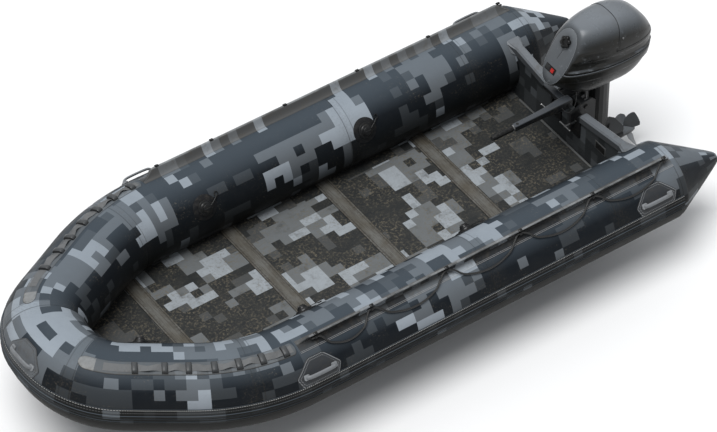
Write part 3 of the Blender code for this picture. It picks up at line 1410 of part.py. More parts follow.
def make_gear_case():
    """The lower unit: plate, strut, gear pod and skeg, bored for its two shafts."""
    low = GEAR_AXIS
    sides = 12

    def strut_ring(z, share):
        middle = (GEAR_STRUT_FRONT + GEAR_STRUT_REAR) / 2
        long = (GEAR_STRUT_REAR - GEAR_STRUT_FRONT) / 2 * share
        steps = (2 * math.pi * i / sides for i in range(sides))
        wide = GEAR_STRUT_WIDTH / 2 * share
        return [motor(middle + long * math.cos(a), wide * math.sin(a), z) for a in steps]

    heights = (GEAR_TOP, PLATE_TOP, low)
    strut = lofted([strut_ring(z, share) for z, share in zip(heights, GEAR_STRUT_TAPER_SHARES)])
    case = to_object("gear_case", strut, MATERIALS["motor_black"])
    pod_length = GEAR_POD_REAR - GEAR_POD_FRONT
    pod = turned(
        motor(GEAR_POD_FRONT, 0, low),
        (1, 0, 0),
        (
            (0.0, GEAR_POD_RADIUS * 0.2),
            (pod_length * 0.08, GEAR_POD_RADIUS * 0.62),
            (pod_length * 0.22, GEAR_POD_RADIUS * 0.93),
            (pod_length * 0.40, GEAR_POD_RADIUS),
            (pod_length * 0.75, GEAR_POD_RADIUS),
            (pod_length, GEAR_POD_RADIUS * 0.80),
        ),
        16,
    )
    outline = (
        (PLATE_FRONT, PLATE_HALF_WIDTH * 0.35),
        (PLATE_FRONT + PLATE_HALF_WIDTH * 0.7, PLATE_HALF_WIDTH * 0.85),
        (LEG_CENTRE, PLATE_HALF_WIDTH),
        (PLATE_REAR - PLATE_HALF_WIDTH * 0.3, PLATE_HALF_WIDTH),
        (PLATE_REAR, PLATE_HALF_WIDTH * 0.65),
    )
    both = [*outline, *((x, -y) for x, y in outline[::-1])]
    world = [(TRANSOM_X + x, y) for x, y in both]
    plate = prism(world, SEAT_HEIGHT + PLATE_TOP - PLATE_THICKNESS, SEAT_HEIGHT + PLATE_TOP, "Z")
    depth = SKEG_BOTTOM - (low - GEAR_POD_RADIUS * 0.8)
    fin = [
        (TRANSOM_X + GEAR_STRUT_FRONT + (GEAR_STRUT_REAR + GEAR_POD_RADIUS - GEAR_STRUT_FRONT) * a,
         SEAT_HEIGHT + low - GEAR_POD_RADIUS * 0.8 + depth * b)
        for a, b in SKEG_OUTLINE_SHARES
    ]
    skeg = prism(fin, -SKEG_THICKNESS / 2, SKEG_THICKNESS / 2, "Y")
    combine(case, helper("gear_pod", pod), "UNION")
    combine(case, helper("cavitation_plate", plate), "UNION")
    combine(case, helper("skeg", skeg), "UNION")
    radius = SHAFT_RADIUS + SHAFT_CLEARANCE
    down = turned(motor(LEG_CENTRE, 0, low), (0, 0, 1), ((0.0, radius), (GEAR_TOP - low + GEAR_POD_RADIUS, radius)), 12)
    chamber = turned(
        motor(GEAR_CHAMBER_FRONT, 0, low),
        (1, 0, 0),
        ((0.0, GEAR_CHAMBER_RADIUS), (GEAR_CHAMBER_REAR - GEAR_CHAMBER_FRONT, GEAR_CHAMBER_RADIUS)),
        16,
    )
    rear = turned(
        motor(GEAR_CHAMBER_REAR - GEAR_CHAMBER_RADIUS, 0, low),
        (1, 0, 0),
        ((0.0, radius), (GEAR_POD_REAR - GEAR_CHAMBER_REAR + 2 * GEAR_CHAMBER_RADIUS, radius)),
        12,
    )
    combine(case, helper("drive_bore", down), "DIFFERENCE")
    combine(case, helper("gear_chamber", chamber), "DIFFERENCE")
    combine(case, helper("prop_bore", rear), "DIFFERENCE")


def make_drive_shaft():
    """The upright shaft from the engine, with its bevel pinion."""
    pinion_low = GEAR_AXIS + PINION_RADIUS * 0.75 + GEAR_MESH_GAP
    start = motor(LEG_CENTRE, 0, pinion_low)
    profile = (
        (0.0, PINION_RADIUS * 0.7),
        (PINION_HEIGHT * 0.4, PINION_RADIUS),
        (PINION_HEIGHT, PINION_RADIUS * 0.9),
        (PINION_HEIGHT, SHAFT_RADIUS),
        (SHAFT_TOP - pinion_low, SHAFT_RADIUS),
    )
    to_object("drive_shaft", turned(start, (0, 0, 1), profile, 12), MATERIALS["steel"], start)


def make_propeller():
    """Hub, blades, shaft and ring gear, which turn together."""
    start = motor(PROP_HUB_FRONT, 0, GEAR_AXIS)
    gear_front = LEG_CENTRE + PINION_RADIUS + GEAR_MESH_GAP - PROP_HUB_FRONT
    profile = (
        (gear_front, RING_GEAR_RADIUS * 0.6),
        (gear_front + RING_GEAR_DEPTH * 0.5, RING_GEAR_RADIUS),
        (gear_front + RING_GEAR_DEPTH, RING_GEAR_RADIUS),
        (gear_front + RING_GEAR_DEPTH, SHAFT_RADIUS),
        (0.0, SHAFT_RADIUS),
        (0.0, PROP_HUB_RADIUS),
        (PROP_HUB_LENGTH * 0.75, PROP_HUB_RADIUS * 0.92),
        (PROP_HUB_LENGTH, PROP_HUB_RADIUS * PROP_HUB_REAR_SHARE),
    )
    prop = to_object("propeller", turned(start, (1, 0, 0), profile, 18), MATERIALS["propeller"], start)
    for i in range(PROP_BLADES):
        blade = helper(f"prop_blade_{i}", propeller_blade(PROP_FIRST_BLADE + 2 * math.pi * i / PROP_BLADES))
        combine(prop, blade, "UNION")


def propeller_blade(turn):
    middle = motor(PROP_HUB_FRONT + PROP_HUB_LENGTH * 0.45, 0, GEAR_AXIS)
    out = Vector((0, -math.cos(turn), math.sin(turn)))
    around = Vector((1, 0, 0)).cross(out)
    rings = []
    for reach, chord in PROP_BLADE_SHARES:
        pitch = math.atan2(math.tan(PROP_PITCH) * 0.7, max(reach, 0.3))
        along = Vector((1, 0, 0)) * math.sin(pitch) + around * math.cos(pitch)
        thick = along.cross(out) * PROP_BLADE_THICKNESS / 2 * (1.3 - reach)
        half = along * PROP_RADIUS * chord / 2
        base = middle + out * PROP_RADIUS * reach + Vector((PROP_RADIUS * PROP_RAKE_SHARE * reach, 0, 0))
        rings.append([base - half, base - half / 2 + thick, base + half / 2 + thick, base + half,
                      base + half / 2 - thick, base - half / 2 - thick])
    return lofted(rings)


def make_powerhead():
    """The engine block with its flywheel, standing on the leg inside the cowls."""
    low = LEG_TOP + CLEARANCE
    block = to_object(
        "powerhead",
        box(
            motor(POWERHEAD_FRONT, -POWERHEAD_HALF_WIDTH, low),
            motor(POWERHEAD_REAR, POWERHEAD_HALF_WIDTH, POWERHEAD_TOP),
        ),
        MATERIALS["engine"],
    )
    bevel = block.modifiers.new("edges", "BEVEL")
    bevel.width = POWERHEAD_BEVEL
    bevel.segments = 2
    wheel = turned(
        motor(LEG_CENTRE - LEG_LENGTH / 4, 0, POWERHEAD_TOP - POWERHEAD_BEVEL / 2),
        (0, 0, 1),
        ((0.0, FLYWHEEL_RADIUS), (FLYWHEEL_HEIGHT, FLYWHEEL_RADIUS)),
        24,
    )
    combine(block, helper("flywheel", wheel), "UNION")
    socket = turned(
        motor(LEG_CENTRE, 0, LEG_TOP - SHAFT_RADIUS),
        (0, 0, 1),
        ((0.0, SHAFT_RADIUS + SHAFT_CLEARANCE), (SHAFT_TOP - LEG_TOP + 2 * SHAFT_RADIUS, SHAFT_RADIUS + SHAFT_CLEARANCE)),
        12,
    )
    combine(block, helper("shaft_socket", socket), "DIFFERENCE")


def front_face_point(share, y):
    """A point on the cowl's leaning front face, and the face's outward direction."""
    foot, crown, _ = cowl_section(0)
    up = (crown - foot).normalized()
    point = foot.lerp(crown, share)
    point.y = y
    return point, Vector((-up.z, 0, up.x))


def make_knob():
    """The lobed knob on the cowl's front face."""
    foot, normal = front_face_point(KNOB_SHARE, 0.0)
    first = normal.cross(Vector((0, 1, 0))).normalized()
    second = Vector((0, 1, 0))
    steps = 24

    def ring(height, shrink):
        points = []
        for i in range(steps):
            a = 2 * math.pi * i / steps
            radius = (KNOB_RADIUS - KNOB_LOBE_DEPTH * (0.5 - 0.5 * math.cos(KNOB_LOBES * a))) * shrink
            points.append(foot + normal * height + radius * (first * math.cos(a) + second * math.sin(a)))
        return points

    low = CLEARANCE
    rings = [ring(low, 0.86), ring(low + KNOB_DEPTH * 0.2, 1.0), ring(low + KNOB_DEPTH * 0.8, 1.0), ring(low + KNOB_DEPTH, 0.8)]
    knob = to_object("front_knob", lofted(rings), MATERIALS["knob"], foot)
    stem = turned(
        foot - normal * KNOB_STEM,
        normal,
        ((0.0, KNOB_STEM_RADIUS), (KNOB_STEM + KNOB_DEPTH / 2, KNOB_STEM_RADIUS)),
        12,
    )
    combine(knob, helper("knob_stem", stem), "UNION")


def button_block(grow, deeper):
    foot, normal = front_face_point(BUTTON_SHARE, BUTTON_Y)
    up = normal.cross(Vector((0, 1, 0))).normalized()
    half = BUTTON_SIZE / 2 + grow
    across = Vector((0, 1, 0))
    rings = []
    for height in (-COWL_WALL - deeper, BUTTON_PROUD + deeper / 2):
        corners = ((-1, -1), (1, -1), (1, 1), (-1, 1))
        rings.append([foot + normal * height + up * half * a + across * half * b for a, b in corners])
    return lofted(rings)


def make_button():
    foot, _ = front_face_point(BUTTON_SHARE, BUTTON_Y)
    to_object("stop_button", button_block(0.0, 0.0), MATERIALS["button"], foot)


def make_tiller():
    pivot = motor(TILLER_PIVOT_X, TILLER_Y, TILLER_PIVOT_Z)
    root = TILLER_ROOT_HEIGHT / 2
    tip = TILLER_TIP_HEIGHT / 2
    length = TILLER_END_X - TILLER_PIVOT_X
    outline = (
        (TILLER_ROOT_REAR, -root * 0.7),
        (TILLER_ROOT_REAR, root * 0.7),
        (TILLER_ROOT_REAR * 0.4, root),
        (-TILLER_ROOT_REAR, root),
        (length * 0.62, tip * 1.05),
        (length, tip),
        (length, -tip),
        (length * 0.62, -tip * 1.05),
        (-TILLER_ROOT_REAR, -root),
        (TILLER_ROOT_REAR * 0.4, -root),
    )
    world = [(pivot.x + x, pivot.z + z) for x, z in outline]
    half = TILLER_WIDTH / 2
    arm = to_object(
        "tiller_arm", prism(world, TILLER_Y - half, TILLER_Y + half, "Y"), MATERIALS["tiller"], pivot
    )
    combine(arm, helper("tiller_bore", tiller_stub(CLEARANCE)), "DIFFERENCE")
    start = motor(TILLER_END_X - GRIP_GAP, TILLER_Y, TILLER_PIVOT_Z)
    profile = [(0.0, GRIP_RADIUS * 0.9)]
    for i in range(GRIP_RIBS):
        middle = GRIP_LENGTH * (i + 0.5) / (GRIP_RIBS + 0.5)
        step = GRIP_LENGTH / (GRIP_RIBS + 0.5) / 4
        profile.append((middle - step, GRIP_RADIUS - GRIP_RIB_HEIGHT))
        profile.append((middle + step, GRIP_RADIUS))
    profile.append((GRIP_LENGTH, GRIP_RADIUS * 0.8))
    to_object("throttle_grip", turned(start, (-1, 0, 0), profile, 14), MATERIALS["rubber"], start)


def catmull_rom(route, count):
    """Evenly spaced points on a smooth curve through a route's own points."""
    points = [Vector(point) for point in route]
    points = [2 * points[0] - points[1]] + points + [2 * points[-1] - points[-2]]
    spans = len(points) - 3
    result = []
    for i in range(count):
        place = spans * i / (count - 1)
        span = min(int(place), spans - 1)
        t = place - span
        a, b, c, d = points[span : span + 4]
        result.append(
            0.5 * (2 * b + (c - a) * t + (2 * a - 5 * b + 4 * c - d) * t**2 + (3 * b - a - 3 * c + d) * t**3)
        )
    return result


def make_cable():
    """The stop lanyard's cable, from under the cowl to the root of the tiller."""
    foot, _, _ = cowl_section(0)
    route = [foot + Vector(point) for point in CABLE_ROUTE]
    tube_along("stop_cable", catmull_rom(route, CABLE_POINTS), CABLE_DIAMETER, MATERIALS["rope"])


MATERIALS = {}


def make_materials():
    MATERIALS.update(
        helper=finish("helper", (1.0, 0.0, 1.0), 0.5),
        tube_fabric=finish("tube_fabric", (0.13, 0.15, 0.17), 0.55),
        bottom_fabric=finish("bottom_fabric", (0.05, 0.055, 0.06), 0.7),
        floor=finish("floor", (0.14, 0.14, 0.13), 0.8),
        joiner=finish("joiner", (0.16, 0.15, 0.13), 0.7),
        transom=finish("transom", (0.06, 0.065, 0.07), 0.6),
        cap=finish("cap", (0.22, 0.23, 0.25), 0.5),
        trim_rubber=finish("trim_rubber", (0.12, 0.12, 0.11), 0.6),
        patch=finish("patch", (0.17, 0.17, 0.16), 0.65),
        handle=finish("handle", (0.10, 0.105, 0.11), 0.55),
        rope=finish("rope", (0.015, 0.015, 0.015), 0.8),
        valve=finish("valve", (0.02, 0.02, 0.022), 0.5),
        valve_cap=finish("valve_cap", (0.03, 0.03, 0.032), 0.45),
        cowl=finish("cowl", (0.10, 0.11, 0.12), 0.4),
        motor_black=finish("motor_black", (0.02, 0.02, 0.022), 0.45, 0.3),
        bracket=finish("bracket", (0.04, 0.045, 0.05), 0.45, 0.4),
        steel=finish("steel", (0.45, 0.45, 0.46), 0.3, 1.0),
        propeller=finish("propeller", (0.16, 0.17, 0.18), 0.4, 0.5),
        engine=finish("engine", (0.20, 0.20, 0.21), 0.5, 0.7),
        knob=finish("knob", (0.012, 0.012, 0.012), 0.5),
        button=finish("button", (0.45, 0.02, 0.02), 0.4),
        tiller=finish("tiller", (0.07, 0.08, 0.09), 0.45),
        rubber=finish("rubber", (0.012, 0.012, 0.012), 0.75),
    )


def main():
    clear_scene()
    make_materials()
    make_tubes()
    make_bottom_skin()
    make_floor()
    make_transom()
    make_rails()
    make_lifelines()
    make_strake()
    make_strap_patches()
    make_handles()
    make_valves()
    make_cowls()
    make_leg()
    make_swivel()
    make_tilt_pin()
    make_clamp()
    make_clamp_screws()
    make_gear_case()
    make_drive_shaft()
    make_propeller()
    make_powerhead()
    make_knob()
    make_button()
    make_tiller()
    make_cable()


main()
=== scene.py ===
"""Looks of the inflatable boat: fabric, wear, cords and the outboard motor's finish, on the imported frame.

Metres, in the frame of the CAD model: +X aft, -Y port, +Z up, the origin on the deck. A run is a distance
along the tubes' centre line from the bow, minus to port. A tube angle is 0 outboard, 90 on top, 180 inboard.
"""

from math import acos, atan2, ceil, copysign, cos, degrees, exp, pi, radians, sin, sqrt, tan

import bmesh
import bpy
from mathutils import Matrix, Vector


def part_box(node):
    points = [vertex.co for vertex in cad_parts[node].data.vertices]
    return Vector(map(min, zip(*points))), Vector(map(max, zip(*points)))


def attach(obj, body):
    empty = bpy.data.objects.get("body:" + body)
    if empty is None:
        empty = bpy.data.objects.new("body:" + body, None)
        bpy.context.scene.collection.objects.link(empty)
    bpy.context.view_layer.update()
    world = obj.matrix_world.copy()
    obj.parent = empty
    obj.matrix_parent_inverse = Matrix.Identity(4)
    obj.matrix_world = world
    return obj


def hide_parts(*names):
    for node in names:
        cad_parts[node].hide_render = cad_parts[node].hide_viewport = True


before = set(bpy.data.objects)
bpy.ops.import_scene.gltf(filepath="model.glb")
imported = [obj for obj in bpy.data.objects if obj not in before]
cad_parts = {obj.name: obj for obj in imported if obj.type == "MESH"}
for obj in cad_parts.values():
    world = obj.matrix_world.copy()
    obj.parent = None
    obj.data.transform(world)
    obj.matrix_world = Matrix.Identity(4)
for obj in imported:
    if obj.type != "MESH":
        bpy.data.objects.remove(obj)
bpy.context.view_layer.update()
# finishes by name
paints = {}

X = Vector((1, 0, 0))
Y = Vector((0, 1, 0))
Z = Vector((0, 0, 1))

# Hull, as in the CAD model
TUBE_RADIUS = 0.25
TUBE_OFFSET = 0.737
TUBE_HEIGHT = 0.191
STRAIGHT_START_X = -0.847
SHOULDER_RADIUS = 1.155
SHOULDER_TURN = radians(30.1)
NOSE_RADIUS = 0.437
SHEER_RISE = 0.136
SHEER_RUN = 1.722
BOW_SEAM_RUN = 1.17
NOSE_SEAM_RUN = 0.22
MID_SEAM_X = 0.43
FABRIC_SEAM_X = 1.335
CONE_SEAM_X = 1.82
CONE_LENGTH = 0.425
CONE_DROP = 0.048
CONE_SHARES = ((0.0, 1.0), (0.45, 0.605), (0.86, 0.235), (0.96, 0.135))
TRANSOM_X = 1.665
SEAT_HEIGHT = 0.291
SIDES = {"port": -1, "starboard": 1}

# Surface of the tubes
AROUND = 72
STEP = 0.05
SEAM_TAPE = 0.022
SEAM_RAISE = 0.0008
SEAM_PINCH = 0.0035
SEAM_PINCH_REACH = 0.05
SEAM_OFFSETS = (0.005, 0.012, 0.0218, 0.0222, 0.03, 0.05)
# rings at the cone's rounded tip: place along the cone, and the share of its width there
CONE_TIP = {0.93: 1.0, 0.955: 1.0, 0.962: 0.96, 0.968: 0.80, 0.970: 0.0001}

# Rope rails, eyes and lifelines
RAIL_FRONT_X = -0.88
RAIL_REAR_X = 1.80
RAIL_TAPER = 0.088
RAIL_BASE = 0.003
RAIL_LOW_ANGLE = 60.0
RAIL_HIGH_ANGLE = 80.0
RAIL_LIP_ANGLE = 72.0
RAIL_FOOT_ANGLE = 74.6
RAIL_HEIGHT = 0.061
RAIL_THICKNESS = 0.013
EYE_XS = (-0.767, -0.378, 0.152, 0.682, 1.212, 1.742)
EYE_LENGTH = 0.016
EYE_ANGLE = 69.83
EYE_RISE = 0.0352
EYE_INNER = 0.0066
EYE_OUTER = 0.0114
# the web's length and height, and its share of the way from the eye to the lip
EYE_WEB = (0.034, 0.022, 0.55)
BUCKLE_SIZE = (0.026, RAIL_THICKNESS + 0.005, 0.011)
TRIM_CORNER = 0.003
ROPE_DIAMETER = 0.012
ROPE_SAG_ANGLE = 49.0
ROPE_LIFT = 0.0105
ROPE_TAIL = 0.030
ROPE_LEAD_SHARE = 1.1
ROPE_EASE_SHARE = 0.10
ROPE_STEP_SHARES = (0.0, 0.035, 0.095, 0.17, 0.26, 0.36, 0.48, 0.60, 0.71, 0.81, 0.89, 0.955)

# Motor, aft of the transom's inner face and up from its seat
COWL_FRONT = -0.157
COWL_LENGTH = 0.71
COWL_BASE = 0.145
COWL_HEIGHT = 0.515
COWL_HALF_WIDTH = 0.18
COWL_SQUARENESS = 2.9
COWL_SPLIT_SHARES = (0.500, 0.398)
# foot x, foot z, crown x, crown z, half width
COWL_SHARES = (
    (-0.030, 0.301, 0.243, 0.950, 0.55),
    (0.012, 0.255, 0.288, 0.985, 0.68),
    (0.130, 0.126, 0.411, 1.000, 0.85),
    (0.299, 0.012, 0.552, 1.000, 0.97),
    (0.510, 0.000, 0.700, 0.965, 1.00),
    (0.720, 0.000, 0.845, 0.880, 0.94),
    (0.885, 0.115, 0.945, 0.735, 0.76),
    (0.990, 0.300, 1.012, 0.580, 0.48),
)
CABLE_DIAMETER = 0.005
# from the foot of the cowl's front
CABLE_ROUTE = (
    (0.1631, -0.0952, -0.0892),
    (0.1583, -0.1014, -0.0983),
    (0.1500, -0.1120, -0.1180),
    (0.1350, -0.1240, -0.1460),
    (0.1120, -0.1320, -0.1720),
    (0.0850, -0.1340, -0.1860),
    (0.0620, -0.1300, -0.1800),
    (0.0490, -0.1220, -0.1620),
    (0.0445, -0.1150, -0.1505),
    (0.0445, -0.1077, -0.1500),
)


# Camera, fitted to the photo

CAMERA_AZIMUTH = -0.60908
CAMERA_ELEVATION = 0.78583
CAMERA_PLACE = (-9.755345, -14.146841, 17.508679)
CAMERA_LENS_SHARE = 5.73023


def link(name, data):
    obj = bpy.data.objects.new(name, data)
    bpy.context.scene.collection.objects.link(obj)
    return obj


def make_camera():
    data = bpy.data.cameras.new("camera")
    data.sensor_width = 36.0
    data.lens = data.sensor_width * CAMERA_LENS_SHARE
    obj = link("camera", data)
    level = cos(CAMERA_ELEVATION)
    back = Vector((sin(CAMERA_AZIMUTH) * level, -cos(CAMERA_AZIMUTH) * level, sin(CAMERA_ELEVATION)))
    obj.rotation_euler = back.to_track_quat("Z", "Y").to_euler()
    obj.location = CAMERA_PLACE
    bpy.context.scene.camera = obj


# Hull surface


def run_at(x):
    return STRAIGHT_RUN + x - STRAIGHT_START_X


def centre_line(run):
    """The centre line's point and the level direction that points outboard there."""
    side = -1 if run < 0 else 1
    back = STRAIGHT_RUN - abs(run)
    turn = 0.0
    x = STRAIGHT_START_X
    y = TUBE_OFFSET
    if back <= 0:
        x -= back
    else:
        turn = min(back / SHOULDER_RADIUS, SHOULDER_TURN)
        x -= SHOULDER_RADIUS * sin(turn)
        y -= SHOULDER_RADIUS * (1 - cos(turn))
        straight = min(max(back - SHOULDER_RADIUS * SHOULDER_TURN, 0.0), LINK)
        x -= straight * cos(turn)
        y -= straight * sin(turn)
        nose = back - SHOULDER_RADIUS * SHOULDER_TURN - straight
        if nose > 0:
            turn = SHOULDER_TURN + nose / NOSE_RADIUS
            x -= NOSE_RADIUS * (sin(turn) - sin(SHOULDER_TURN))
            y -= NOSE_RADIUS * (cos(SHOULDER_TURN) - cos(turn))
    lift = max((SHEER_RUN - abs(run)) / SHEER_RUN, 0.0)
    point = Vector((x, side * y, TUBE_HEIGHT + SHEER_RISE * lift * lift))
    return point, Vector((-sin(turn), side * cos(turn), 0))


def out_of_tube(run, angle):
    return centre_line(run)[1] * cos(radians(angle)) + Z * sin(radians(angle))


def on_tube(run, angle, height=0.0):
    return centre_line(run)[0] + (TUBE_RADIUS + height) * out_of_tube(run, angle)


def across_tube(middle, angle, distance):
    """The run that lies a distance along the skin from another, at this angle."""
    length = (on_tube(middle + 0.1, angle) - on_tube(middle - 0.1, angle)).length
    return middle + distance * 0.2 / length


# the straight stretch between the nose and the shoulder
LINK = TUBE_OFFSET - SHOULDER_RADIUS * (1 - cos(SHOULDER_TURN)) - NOSE_RADIUS * cos(SHOULDER_TURN)
LINK /= sin(SHOULDER_TURN)
STRAIGHT_RUN = NOSE_RADIUS * (pi / 2 - SHOULDER_TURN) + LINK + SHOULDER_RADIUS * SHOULDER_TURN
MID_RUN, FABRIC_RUN, CONE_RUN = (run_at(x) for x in (MID_SEAM_X, FABRIC_SEAM_X, CONE_SEAM_X))


# Curves and meshes


def smooth_step(value):
    value = min(max(value, 0.0), 1.0)
    return value * value * (3 - 2 * value)


def spread(start, end, step):
    count = max(1, ceil(abs(end - start) / step))
    return [start + (end - start) * i / count for i in range(count + 1)]


def stretches(side, stops, steps):
    """Runs on one side that pass through the stops, with a step for each stretch."""
    runs = [stops[0]]
    for near, far, step in zip(stops, stops[1:], steps):
        runs += spread(near, far, step)[1:]
    return [side * run for run in runs]


def from_table(table, share):
    """The value at a share, between a table's rows of (share, value)."""
    for (near, wide), (far, slim) in zip(table, table[1:]):
        if share <= far:
            return wide + (slim - wide) * (share - near) / (far - near)
    return table[-1][1]


def mirrored(points, middle=0.0, between=()):
    """The points, and then their images about a middle of the first value, the other way round."""
    return [*points, *between, *((2 * middle - first, *rest) for first, *rest in points[::-1])]


def signed_power(value, exponent):
    return copysign(abs(value) ** exponent, value)


def ring(count):
    """Angles evenly round a turn."""
    return [2 * pi * i / count for i in range(count)]


def spokes(out, count, side=None):
    """Directions evenly round an axis."""
    side = side or out.orthogonal().normalized()
    return [side * cos(a) + out.cross(side) * sin(a) for a in ring(count)]


def rounded_route(points, parts=4):
    """A smooth curve through the points."""
    ends = [2 * points[0] - points[1], *points, 2 * points[-1] - points[-2]]
    made = []
    for a, b, c, d in zip(ends, ends[1:], ends[2:], ends[3:]):
        for i in range(parts):
            t = i / parts
            bend = (2 * a - 5 * b + 4 * c - d) * t * t + (3 * b - a - 3 * c + d) * t ** 3
            made.append(0.5 * (2 * b + (c - a) * t + bend))
    return made + [points[-1]]


def piece(bm, materials, slot, node, made="", body="hull", angle=40.0):
    """A finished object on a CAD body. Where made is given, it stands for that CAD node."""
    bmesh.ops.recalc_face_normals(bm, faces=bm.faces)
    name = f"{node}_{made}" if made else node
    mesh = bpy.data.meshes.new(name)
    bm.to_mesh(mesh)
    bm.free()
    for material in materials.split():
        mesh.materials.append(paints[material])
    mesh.shade_smooth()
    mesh.set_sharp_from_angle(angle=radians(angle))
    obj = link(name, mesh)
    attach(obj, body)
    if made:
        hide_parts(node)
    return obj


def grid(bm, rows, surface=None, closed=False, ends=(False, False), index=0, skin=None):
    """Joins rows of points with faces. surface(i, j) and skin(i, j) give a point's places on the two maps."""
    wanted = (("surface", surface), ("skin", skin))
    maps = [(bm.loops.layers.uv.get(name) or bm.loops.layers.uv.new(name), of) for name, of in wanted if of]
    verts = [[bm.verts.new(point) for point in row] for row in rows]
    count = len(rows[0])
    for i in range(len(rows) - 1):
        for j in range(count if closed else count - 1):
            k = (j + 1) % count
            face = bm.faces.new((verts[i][j], verts[i][k], verts[i + 1][k], verts[i + 1][j]))
            face.material_index = index
            for layer, place_of in maps:
                for loop, corner in zip(face.loops, ((i, j), (i, j + 1), (i + 1, j + 1), (i + 1, j))):
                    loop[layer].uv = place_of(*corner)
    for closed_end, row in zip(ends, (verts[0], verts[-1])):
        if closed_end:
            bm.faces.new(row).material_index = index


def solid(bm, rows, index=0):
    """Closed rings of points, capped at both ends."""
    grid(bm, rows, None, True, (True, True), index)


def lathe(bm, base, out, profile, sides=36, index=0, close=True):
    """Turns a profile of (height along out, radius) about an axis."""
    away = spokes(out, sides)
    rows = [[base + out * height + radius * spoke for spoke in away] for height, radius in profile]
    grid(bm, rows, lambda i, j: (j / sides, profile[i][0]), True, (close, close), index)


def pipe(bm, points, radius, sides=12, squeeze=1.0, up=None, index=0, caps=True):
    """A tube along points, with its map as (length, way round). squeeze flattens it along up."""
    rows = []
    lengths = [0.0]
    side = None
    for i, point in enumerate(points):
        ahead = (points[min(i + 1, len(points) - 1)] - points[max(i - 1, 0)]).normalized()
        if up is not None:
            side = ahead.cross(up).normalized()
        elif side is None:
            side = ahead.orthogonal().normalized()
        else:
            side = (side - ahead * side.dot(ahead)).normalized()
        lift = side.cross(ahead) * squeeze
        rows.append([point + radius * (side * cos(a) + lift * sin(a)) for a in ring(sides)])
        if i:
            lengths.append(lengths[-1] + (point - points[i - 1]).length)
    grid(bm, rows, lambda i, j: (lengths[i], j / sides), True, (caps, caps), index)
    return lengths[-1]


def block(bm, middle, long, up, size, corner, index=0):
    """A block with rounded long edges. Its size is along its long direction, across it, and up."""
    long, up = Vector(long).normalized(), Vector(up).normalized()
    wide = up.cross(long)
    half = [value / 2 for value in size]
    outline = []
    for sign_a, sign_b, start in ((1, 1, 0), (-1, 1, 90), (-1, -1, 180), (1, -1, 270)):
        for turn in (0, 30, 60, 90):
            a = radians(start + turn)
            across = sign_a * (half[1] - corner) + corner * cos(a)
            outline.append((across, sign_b * (half[2] - corner) + corner * sin(a)))
    rows = []
    for along, shrink in mirrored(((-half[0], corner), (corner - half[0], 0.0))):
        share_a, share_b = (1 - shrink / value * 0.8 for value in half[1:])
        rows.append([middle + long * along + wide * a * share_a + up * b * share_b for a, b in outline])
    solid(bm, rows, index)


def strip(bm, runs, profile, closed=True):
    """A strip along the tube. profile(run) gives its outline as (angle, height, distance from its edge)."""
    outlines = [profile(run) for run in runs]
    rows = [[on_tube(run, *point[:2]) for point in outline] for run, outline in zip(runs, outlines)]
    count = len(outlines[0])

    def surface(i, j):
        return outlines[i][j % count][2], runs[i]

    def skin(i, j):
        return runs[i], radians(outlines[i][j % count][0]) * TUBE_RADIUS

    grid(bm, rows, surface, closed, (closed, closed), 0, skin)


# Shaders

# colours, linear
BROWN = (0.070, 0.060, 0.046)
# bluish painted sheen on surfaces that face up
PAINTED_SHEEN = (0.120, 0.150, 0.180)
# camouflage from darkest to palest
TUBE_TONES = ((0.0095, 0.0125, 0.0165), (0.043, 0.049, 0.055), (0.126, 0.140, 0.154), (0.330, 0.368, 0.408))
FLOOR_TONES = ((0.0125, 0.0145, 0.0155), (0.050, 0.053, 0.054), (0.122, 0.131, 0.136), (0.285, 0.312, 0.335))
# scale, threshold and full strength of the specks, scale and thresholds of their patches, colour
TUBE_SPECKS = (80.0, 0.57, 0.68, 5.5, 0.52, 0.66, (0.170, 0.145, 0.110))
FLOOR_SPECKS = (58.0, 0.50, 0.62, 4.6, 0.38, 0.58, (0.125, 0.108, 0.078))
CAMO_CELL = 0.062
# offset, scale and threshold of each tone's cells, how they follow the fields, and how they thin out outboard
CAMO_LAYERS = (
    (3.1, 2.9, 0.480, 0.80, 0.0),
    (7.7, 5.6, 0.560, -0.20, 0.0),
    (13.3, 5.2, 0.590, 0.50, 0.12),
    (21.9, 4.6, 0.585, -0.50, 0.0),
)
STITCH = 0.011
STITCH_SHARE = 0.62
BRAID_TURNS = 38.0
HULL_SHIFT = 0.9
